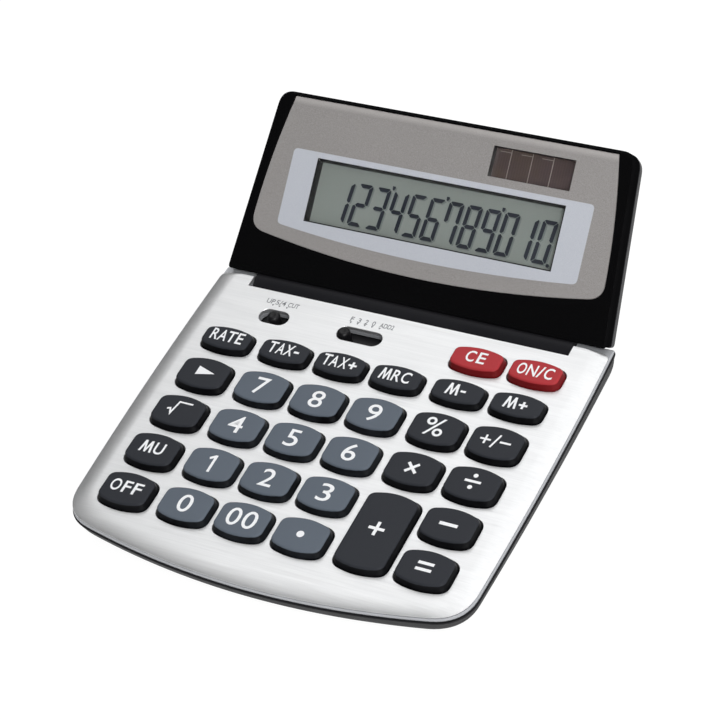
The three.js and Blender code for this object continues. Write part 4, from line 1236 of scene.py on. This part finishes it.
# Labels of the slide switches: name, words, width and place along the width
LABELS = (
    ("label_up", "UP", 2.4, -38.35), ("label_round", "5/4", 3.0, -35.25), ("label_cut", "CUT", 3.2, -31.4),
    ("label_float", "F", 0.9, -13.45), ("label_three", "3", 0.9, -11.3), ("label_two", "2", 0.9, -9.15),
    ("label_none", "0", 0.9, -7), ("label_add", "ADD2", 4.1, -3.1),
)
LABEL_PLACE = 71.7
LABEL_HEIGHT = 1.6
TICKS = (-37.2, -35.2, -32.9, -13.4, -11.35, -9.2, -7, -4.8)
TICK_HALF = 0.35
TICK_POINT = 70.15
TICK_TOP = 70.75
PLATE_HALF = 3
STEM_HALF = 2.75
# Profile of a switch's knob below its top, as radii and drops
KNOB_PROFILE = ((1.75, 0.9), (1.7, 0.6), (1.5, 0.28), (1.2, 0.06), (0.9, 0), (0.6, 0.08), (0.25, 0.12))


class CALCULATOR_OT_switches(CalculatorOperator, bpy.types.Operator):
    """Models the two slide switches and prints their labels and marks"""
    bl_idname = "calculator.switches"
    bl_label = "Add Switches"

    def switch(self, node, knob_x):
        low, high = node_box(node, DECK)
        y = (low.y + high.y) / 2
        plate = loft(node.replace("switch", "slider"), [
            ring_at(rounded_box(low.x, y - PLATE_HALF, high.x, y + PLATE_HALF, 0.6), level)
            for level in (FLANGE_UNDER, FLANGE_TOP)])
        knob = loft("knob", [ring_at(circle(1.8, knob_x, y), FLANGE_UNDER + 0.4)] + [
            ring_at(circle(radius, knob_x, y), high.z - drop) for radius, drop in KNOB_PROFILE])
        carve(plate, [knob], "UNION")
        carve(plate, [block((knob_x - PLATE_HALF, y - STEM_HALF, low.z),
                            (knob_x + PLATE_HALF, y + STEM_HALF, FLANGE_UNDER + 0.3))], "UNION")
        complete(smooth(plate), FINISHES["switch_black"], node, [node])

    def labels(self):
        for name, words, width, x in LABELS:
            label = text_shape(name, words, width, LABEL_HEIGHT, x, LABEL_PLACE, PLAIN_STROKE, PRINT_LIFT)
            complete(thicken(label, self.size("ink")), FINISHES["label_ink"], "base")
        ticks = [[(x - TICK_HALF, TICK_TOP), (x, TICK_POINT), (x + TICK_HALF, TICK_TOP)] for x in TICKS]
        marks = printed("switch_marks", ticks, PRINT_LIFT, self.size("ink"))
        complete(marks, FINISHES["label_ink"], "base")

    def build(self, context):
        self.switch("rounding_switch", node_middle("rounding_switch", DECK).x)
        self.switch("decimal_switch", DECIMAL_KNOB)
        self.labels()


def display_block(rectangle, low, high, grow=0):
    """A block on a rectangle of the display's panel, to cut."""
    (left, foot), (right, top) = rectangle
    return block((left - grow, foot - grow, low), (right + grow, top + grow, high), PANEL)


class CALCULATOR_OT_display(CalculatorOperator, bpy.types.Operator):
    """Models the display: front, window, back shell and hinge barrel"""
    bl_idname = "calculator.display"
    bl_label = "Add Display"

    def front(self):
        edge = self.size("bezel_edge")
        rings = [ring_at(display_outline(0.12), 0.3), ring_at(display_outline(0), 0.42),
                 ring_at(display_outline(0), FACE - edge - LIP),
                 ring_at(display_outline(0, LIP), FACE - edge + 0.2)]
        for step in range(1, 7):
            turn = math.pi / 2 * step / 6
            rings.append(ring_at(display_outline(edge * (1 - math.cos(turn)), LIP),
                                 FACE - edge * (1 - math.sin(turn)) + 0.03 * (6 - step) / 6))
        front = loft("display_bezel", rings, PANEL)
        carve(front, [loft("room", [ring_at(display_outline(DISPLAY_WALL), level)
                                    for level in (-OVERRUN, FRONT_ROOM_ROOF)], PANEL)])
        carve(front, [loft("pocket", [ring_at(window_outline(grow), level) for grow, level in (
            (0.12, POCKET_FLOOR), (0.12, FACE - 0.16), (0.2, FACE - 0.03), (0.3, FACE + 0.02),
            (0.3, PANEL_CUT))], PANEL)])
        carve(front, [display_block(CELL_ROOM, *CELL_ROOM_LEVELS)])
        complete(smooth(front), FINISHES["gloss_black"], "display", ["display_front"])
        # Painted shade: edges and sides get a copy of the black with no reflection, which keeps the highlight
        # off the rounded edge
        front.data.materials.append(FINISHES["bezel_side"])
        for face in front.data.polygons:
            if abs((PANEL.inverted().to_3x3() @ face.normal).normalized().z) < FACING:
                face.material_index = 1

    def window(self):
        strip = self.size("window_strip")
        rings = [ring_at(window_outline(0), WINDOW_BACK), ring_at(window_outline(0), WINDOW_FACE - 0.3),
                 ring_at(window_outline(-0.05, strip * 0.08), WINDOW_FACE - 0.08),
                 ring_at(window_outline(-0.14, strip), WINDOW_FACE)]
        window = loft("window_panel", rings, PANEL)
        carve(window, [display_block(SCREEN, 0, PANEL_CUT, 0.3)])
        carve(window, [display_block(SOLAR, 0, PANEL_CUT)])
        complete(smooth(window, 12), FINISHES["window_taupe"], "display", ["display_window"])
        for name, ((left, foot), (right, top)) in (("screen_pane", SCREEN), ("solar_pane", SOLAR)):
            pane = loft(name, [ring_at(rounded_box(left, foot, right, top, 0.3), level)
                               for level in (WINDOW_FACE - 0.32, WINDOW_FACE - 0.02)], PANEL)
            pane.visible_shadow = False
            complete(smooth(pane), FINISHES["clear_pane"], "display")

    def frame_print(self):
        start = BORDER_HALF - BORDER_ROUND
        rise = BORDER_SIDE_FOOT - BORDER_FOOT
        half = [(start * step / 10, BORDER_FOOT + rise * (step / 10) ** 2) for step in range(10)]
        half += bend((start, BORDER_SIDE_FOOT), (BORDER_HALF, BORDER_SIDE_FOOT + 0.15),
                     (BORDER_HALF, BORDER_SIDE_FOOT + 0.15 + BORDER_ROUND), 5)
        half += bend((BORDER_HALF, BORDER_TOP - BORDER_ROUND), (BORDER_HALF, BORDER_TOP),
                     (start, BORDER_TOP), 5)
        outline = mirrored(half)
        layer = loft("screen_border", [ring_at(outline, level) for level in (
            WINDOW_FACE + 0.003, WINDOW_FACE + 0.028)], PANEL)
        carve(layer, [display_block(SCREEN, 0, PANEL_CUT, 0.3)])
        complete(layer, FINISHES["pale_frame"], "display")
        paint("lcd_frame", FINISHES["screen_wall"])

    def wall(self, name, rectangle, lean):
        """The dark wall from a cell's face up to the window, which leans in over the cell's edge at the left
        and the top. The lean is partly the wall itself and partly painted shade, a dark rim where the wall's
        shadow falls on the cell.
        """
        (left, foot), (right, top) = rectangle
        outer = rounded_box(left - WALL_RIM, foot - WALL_RIM, right + WALL_RIM, top + WALL_RIM, 0.2)
        wall = loft(name, [ring_at(outer, level) for level in (
            SCREEN_FACE + 0.02, WINDOW_FACE - 0.01)], PANEL)
        inner = rounded_box(left + lean, foot + lean * 0.2, right - lean * 0.1, top - lean, 0.2)
        upper = rounded_box(left, foot, right, top, 0.2)
        carve(wall, [loft("hollow", [ring_at(inner, SCREEN_FACE - OVERRUN), ring_at(inner, SCREEN_FACE),
                                     ring_at(upper, WINDOW_FACE - 0.3), ring_at(upper, PANEL_CUT)], PANEL)])
        complete(wall, FINISHES["screen_wall"], "display")

    def barrel(self):
        profile = ((BARREL_HALF, 3.7), (BARREL_HALF - 0.09, 3.91), (BARREL_HALF - 0.3, BARREL_RADIUS))
        ends = [(-x, radius) for x, radius in profile] + list(profile[::-1])
        return loft("barrel", [[(x, y, z) for y, z in circle(radius, steps=64)] for x, radius in ends], PANEL)

    def back(self):
        rings = [ring_at(display_outline(tuck), level) for tuck, level in (
            (3.3, BACK_LEVEL), (2.6, BACK_LEVEL + 0.04), (1.9, BACK_LEVEL + 0.2), (1.3, BACK_LEVEL + 0.46),
            (0.8, BACK_LEVEL + 0.8), (0.46, BACK_LEVEL + 1.2), (0.3, -2.8), (0.02, -0.3), (0, -0.12),
            (0.12, 0))]
        back = loft("display_shell", rings, PANEL)
        carve(back, [self.barrel()], "UNION")
        neck = BARREL_HALF - 0.3
        carve(back, [block((-neck, 0, -BARREL_RADIUS), (neck, BARREL_NECK, 0), PANEL)], "UNION")
        carve(back, [loft("room", [ring_at(display_outline(tuck), level) for tuck, level in (
            (3.7, BACK_LEVEL + 1.3), (1.8, -3), (DISPLAY_WALL, OVERRUN))], PANEL)])
        carve(back, [block((-DISPLAY_FOOT_HALF, EAR_RADIUS, 0), (DISPLAY_FOOT_HALF, DISPLAY_TOP, 5), PANEL)])
        carve(back, [display_block(RIBBON_SLOT, *RIBBON_SLOT_LEVELS)])
        for seat, end in ((-PIN_SEAT, -PIN_REACH), (PIN_SEAT, PIN_REACH)):
            carve(back, [rod(PIN_BORE, (seat, 0, 0), (end, 0, 0), PANEL)])
        complete(smooth(back), FINISHES["barrel_grey"], "display", ["display_back"])

    def build(self, context):
        self.front()
        self.window()
        self.frame_print()
        self.wall("screen_wall", SCREEN, SCREEN_SHADE_LEAN)
        self.wall("solar_wall", SOLAR, SOLAR_SHADE_LEAN)
        self.back()


# Digits of the screen, with the places of their commas and point, all along the panel
DIGIT_WIDTH = 4.4
DIGIT_HEIGHT = 11.7
DIGIT_PITCH = 5.44
DIGIT_FOOT = 20.45
DIGIT_LEAN = math.radians(6)
LAST_DIGIT = 30.05
SEGMENT_THICK = 1.1
SEGMENT_GAP = 0.1
DIGIT_SHADOW = (0.45, -0.3)
COMMAS = (-13.75, 2.4, 18.7)
COMMA = ((-0.15, 33.1), (0.75, 33.1), (0.75, 32.5), (0.3, 31.9), (-0.1, 32.2))
POINT_PLACE = 34.5
POINT_RADIUS = 0.5
# Segments that each digit shows: top, upper right, lower right, bottom, lower left, upper left, middle
SEGMENTS = {"0": "abcdef", "1": "bc", "2": "abged", "3": "abgcd", "4": "fgbc", "5": "afgcd", "6": "afgedc",
            "7": "fabc", "8": "abcdefg", "9": "abcdfg"}


def segment_outlines(digit, x, foot):
    """Outlines of a digit's segments, with mitred ends and a lean to the right."""
    right, top, half = DIGIT_WIDTH, DIGIT_HEIGHT, DIGIT_HEIGHT / 2
    # Thickness, gap and mitre
    t, g, e = SEGMENT_THICK, SEGMENT_GAP, SEGMENT_THICK / 4
    shapes = {
        "a": [(2 * e + g, top), (right - 2 * e - g, top), (right - e - g, top - e), (right - t - g, top - t),
              (t + g, top - t), (e + g, top - e)],
        "d": [(t + g, t), (right - t - g, t), (right - e - g, e), (right - 2 * e - g, 0), (2 * e + g, 0),
              (e + g, e)],
        "g": [(g + t / 2, half), (t + g / 2, half + t / 2), (right - t - g / 2, half + t / 2),
              (right - g - t / 2, half), (right - t - g / 2, half - t / 2), (t + g / 2, half - t / 2)],
        "b": [(right - e, top - e - g), (right, top - 2 * e - g), (right, half + e + g),
              (right - t / 2, half + g), (right - t, half + t / 2 + g), (right - t, top - t - g)],
        "c": [(right - e, e + g), (right - t, t + g), (right - t, half - t / 2 - g),
              (right - t / 2, half - g), (right, half - e - g), (right, 2 * e + g)],
        "f": [(e, top - e - g), (t, top - t - g), (t, half + t / 2 + g), (t / 2, half + g), (0, half + e + g),
              (0, top - 2 * e - g)],
        "e": [(e, e + g), (0, 2 * e + g), (0, half - e - g), (t / 2, half - g), (t, half - t / 2 - g),
              (t, t + g)],
    }
    lean = math.tan(DIGIT_LEAN)
    return [[(x + px + (py - half) * lean, foot + py) for px, py in shapes[name]] for name in SEGMENTS[digit]]


class CALCULATOR_OT_screen(CalculatorOperator, bpy.types.Operator):
    """Models the liquid crystal panel with its digits, and the solar cell"""
    bl_idname = "calculator.screen"
    bl_label = "Add Screen"

    shown: StringProperty(name="Digits", description="Digits that the screen shows", default="123456789010")

    def panel(self):
        low, high = node_box("lcd_panel", PANEL)
        rings = [box_ring(low, high, grow, 0.4, level) for grow, level in (
            (-0.1, low.z), (0, low.z + 0.1), (0, high.z - 0.06), (-0.06, high.z))]
        complete(smooth(loft("screen_panel", rings, PANEL)), FINISHES["lcd_glass"], "display",
                 ["lcd_panel"])
        return high.z

    def digits(self, face):
        outlines = []
        for index, digit in enumerate(self.shown):
            x = LAST_DIGIT - DIGIT_PITCH * (len(self.shown) - 1 - index)
            outlines += segment_outlines(digit, x, DIGIT_FOOT)
        outlines += [moved(COMMA, x, 0) for x in COMMAS]
        outlines.append(circle(POINT_RADIUS, POINT_PLACE, DIGIT_FOOT, 16))
        for name, shift, level, ink in (("screen_digits", (0, 0), 0.03, "lcd_ink"),
                                        ("digit_shadows", DIGIT_SHADOW, 0.005, "lcd_shadow")):
            shifted = [moved(outline, *shift) for outline in outlines]
            layer = printed(name, shifted, face + level, 0.015, PANEL)
            complete(layer, FINISHES[ink], "display")

    def solar(self):
        low, high = node_box("solar_cell", PANEL)
        plate = loft("solar_plate", [box_ring(low, high, grow, 0.2, level) for grow, level in (
            (0, low.z), (0, high.z - 0.05), (-0.05, high.z))], PANEL)
        complete(smooth(plate), FINISHES["solar_glass"], "display", ["solar_cell"])
        lines = [bar_outline(0.22, high.y - low.y - 0.6, x, (low.y + high.y) / 2) for x in SOLAR_CUTS]
        lines += [bar_outline(3.2, 0.16, x - 1.7, SOLAR_BUS) for x in SOLAR_CUTS]
        layer = printed("solar_lines", lines, high.z + 0.004, 0.02, PANEL)
        complete(layer, FINISHES["solar_line"], "display")

    def build(self, context):
        self.digits(self.panel())
        self.solar()


class CALCULATOR_OT_inside(CalculatorOperator, bpy.types.Operator):
    """Finishes the inner pieces and remakes the ribbon cable as a finer copy"""
    bl_idname = "calculator.inside"
    bl_label = "Add Inner Pieces"

    def ribbon(self):
        ribbon = copy_of(frame["nodes"]["ribbon_cable"], "ribbon_film")
        for key in list(ribbon.keys()):
            del ribbon[key]
        ribbon.parent = None
        only(ribbon)
        bpy.ops.object.mode_set(mode="EDIT")
        bpy.ops.mesh.select_all(action="SELECT")
        bpy.ops.mesh.remove_doubles(threshold=1e-6)
        bpy.ops.mesh.subdivide(number_cuts=2)
        bpy.ops.object.mode_set(mode="OBJECT")
        ribbon.data.materials.clear()
        ribbon.data.materials.append(FINISHES["ribbon"])
        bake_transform(ribbon)
        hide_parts("ribbon_cable")

    def build(self, context):
        for node, finish in (("main_board", "circuit_board"), ("dome_sheet", "silicone"),
                             ("hinge_pin_left", "steel"), ("hinge_pin_right", "steel"),
                             ("button_cell", "steel"), ("battery_contact_top", "steel"),
                             ("battery_contact_side", "steel")):
            paint(node, FINISHES[finish])
        self.ribbon()


# Stage, in metres. A lamp has a direction, a distance, a size and a power. A dark part of the world fades
# in towards a direction, between two cosines of the angle from it, down to a share of the light.
LAMPS = (("sky_light", (0, 0.42, 0.9), 0.9, (1.3, 1.1), 4.7),
         ("front_fill", (0.55, -0.6, 0.7), 1.1, (0.6, 0.6), 8.5))
DARK_PARTS = (((-0.43, -0.6, 0.675), 0.5, 0.85, 0.04), ((-0.77, 0.55, 0.32), 0.84, 0.98, 0.12))
WORLD_LEVEL = 0.36
FLOOR_SIZE = 8
FLOOR_GLOW = 1.1
GLOW_SHARE = 0.86
LENS = 128.98
EYE = (0.28582, -0.40915, 0.45825)


class CALCULATOR_OT_stage(CalculatorOperator, bpy.types.Operator):
    """Adds the floor, the lamps, the world and the camera"""
    bl_idname = "calculator.stage"
    bl_label = "Add Stage"

    def floor(self):
        deselect_all()
        bpy.ops.mesh.primitive_plane_add(size=FLOOR_SIZE, location=(0, 0, 0))
        floor = named("floor")
        finish = Finish("floor", (0.9, 0.9, 0.9), 0.9)
        glow = finish.node("Emission", {"Color": (1, 1, 1, 1), "Strength": FLOOR_GLOW})
        rays = finish.node("LightPath")
        seen = rays.outputs["Is Camera Ray"]
        for ray in ("Is Glossy Ray", "Is Transmission Ray"):
            seen = finish.node("Math", {0: seen, 1: rays.outputs[ray]}, operation="MAXIMUM").outputs[0]
        share = finish.node("Math", {0: seen, 1: GLOW_SHARE}, operation="MULTIPLY")
        mix = finish.node("MixShader", {0: share.outputs[0], 1: finish.shader.outputs[0], 2: glow.outputs[0]})
        finish.tree.links.new(mix.outputs[0], finish.tree.nodes["Material Output"].inputs["Surface"])
        floor.data.materials.append(finish.material)

    def lamp(self, name, direction, distance, size, power):
        bpy.ops.object.light_add(type="AREA")
        lamp = bpy.context.object
        lamp.name = lamp.data.name = name
        lamp.data.shape = "RECTANGLE"
        lamp.data.size, lamp.data.size_y = size
        lamp.data.energy = power
        direction = Vector(direction).normalized()
        target = Vector((0, 0, 0.02))
        lamp.matrix_world = Matrix.Translation(target + direction * distance) @ direction.to_track_quat(
            "Z", "Y").to_matrix().to_4x4()

    def world(self, context):
        world = bpy.data.worlds.new("studio")
        context.scene.world = world
        world.use_nodes = True
        tree = world.node_tree
        spread = add_node(tree, "TexCoord").outputs["Generated"]
        shares = []
        for direction, start, end, low in DARK_PARTS:
            near = add_node(tree, "VectorMath", {0: spread, 1: Vector(direction).normalized()},
                            operation="DOT_PRODUCT")
            fade = add_node(tree, "MapRange", {
                "Value": near.outputs["Value"], "From Min": start, "From Max": end, "To Min": 1.0,
                "To Max": low}, interpolation_type="SMOOTHSTEP")
            shares.append(fade.outputs["Result"])
        both = add_node(tree, "Math", dict(enumerate(shares)), operation="MULTIPLY")
        level = add_node(tree, "Math", {0: both.outputs[0], 1: WORLD_LEVEL}, operation="MULTIPLY")
        soft = tree.nodes["Background"]
        soft.inputs["Strength"].default_value = 1.0
        tree.links.new(level.outputs[0], soft.inputs["Color"])
        white = add_node(tree, "Background", {"Color": (1, 1, 1, 1), "Strength": 1.0})
        rays = add_node(tree, "LightPath")
        mix = add_node(tree, "MixShader", {0: rays.outputs["Is Camera Ray"], 1: soft.outputs[0],
                                           2: white.outputs[0]})
        tree.links.new(mix.outputs[0], tree.nodes["World Output"].inputs["Surface"])

    def camera(self, context):
        bpy.ops.object.camera_add()
        camera = bpy.context.object
        camera.name = "camera"
        camera.data.lens = LENS
        camera.data.sensor_width = 36
        camera.data.clip_start = 0.05
        across = Vector((0.87874, 0.45212, -0.15301))
        down = Vector((0.20184, -0.64248, -0.73924))
        ahead = Vector((-0.43253, 0.61871, -0.65583))
        turn = Matrix((across, -down, -ahead)).transposed().to_4x4()
        camera.matrix_world = Matrix.Translation(EYE) @ turn
        context.scene.camera = camera

    def build(self, context):
        self.floor()
        for lamp in LAMPS:
            self.lamp(*lamp)
        self.world(context)
        self.camera(context)
        context.scene.view_settings.view_transform = "Standard"


STEPS = (CALCULATOR_OT_finishes, CALCULATOR_OT_stage, CALCULATOR_OT_keys, CALCULATOR_OT_legends,
         CALCULATOR_OT_cover, CALCULATOR_OT_case, CALCULATOR_OT_underside, CALCULATOR_OT_switches,
         CALCULATOR_OT_display, CALCULATOR_OT_screen, CALCULATOR_OT_inside)


class CALCULATOR_PT_panel(bpy.types.Panel):
    """Lists the steps that build the calculator, and its sizes and colours"""
    bl_idname = "CALCULATOR_PT_panel"
    bl_label = "Desk Calculator"
    bl_space_type = "VIEW_3D"
    bl_region_type = "UI"
    bl_category = "Calculator"

    def draw(self, context):
        layout = self.layout
        for step in STEPS:
            layout.operator(step.bl_idname)
        for group in (context.scene.calculator_sizes, context.scene.calculator_colours):
            box = layout.box()
            for name in group.__annotations__:
                box.prop(group, name)


CLASSES = (CalculatorSizes, CalculatorColours, *STEPS, CALCULATOR_PT_panel)


def register():
    for cls in CLASSES:
        bpy.utils.register_class(cls)
    bpy.types.Scene.calculator_sizes = PointerProperty(type=CalculatorSizes)
    bpy.types.Scene.calculator_colours = PointerProperty(type=CalculatorColours)


def unregister():
    del bpy.types.Scene.calculator_colours
    del bpy.types.Scene.calculator_sizes
    for cls in reversed(CLASSES):
        bpy.utils.unregister_class(cls)


def main():
    register()
    for step in STEPS:
        group, name = step.bl_idname.split(".")
        getattr(getattr(bpy.ops, group), name)()


if __name__ == "__main__":
    main()
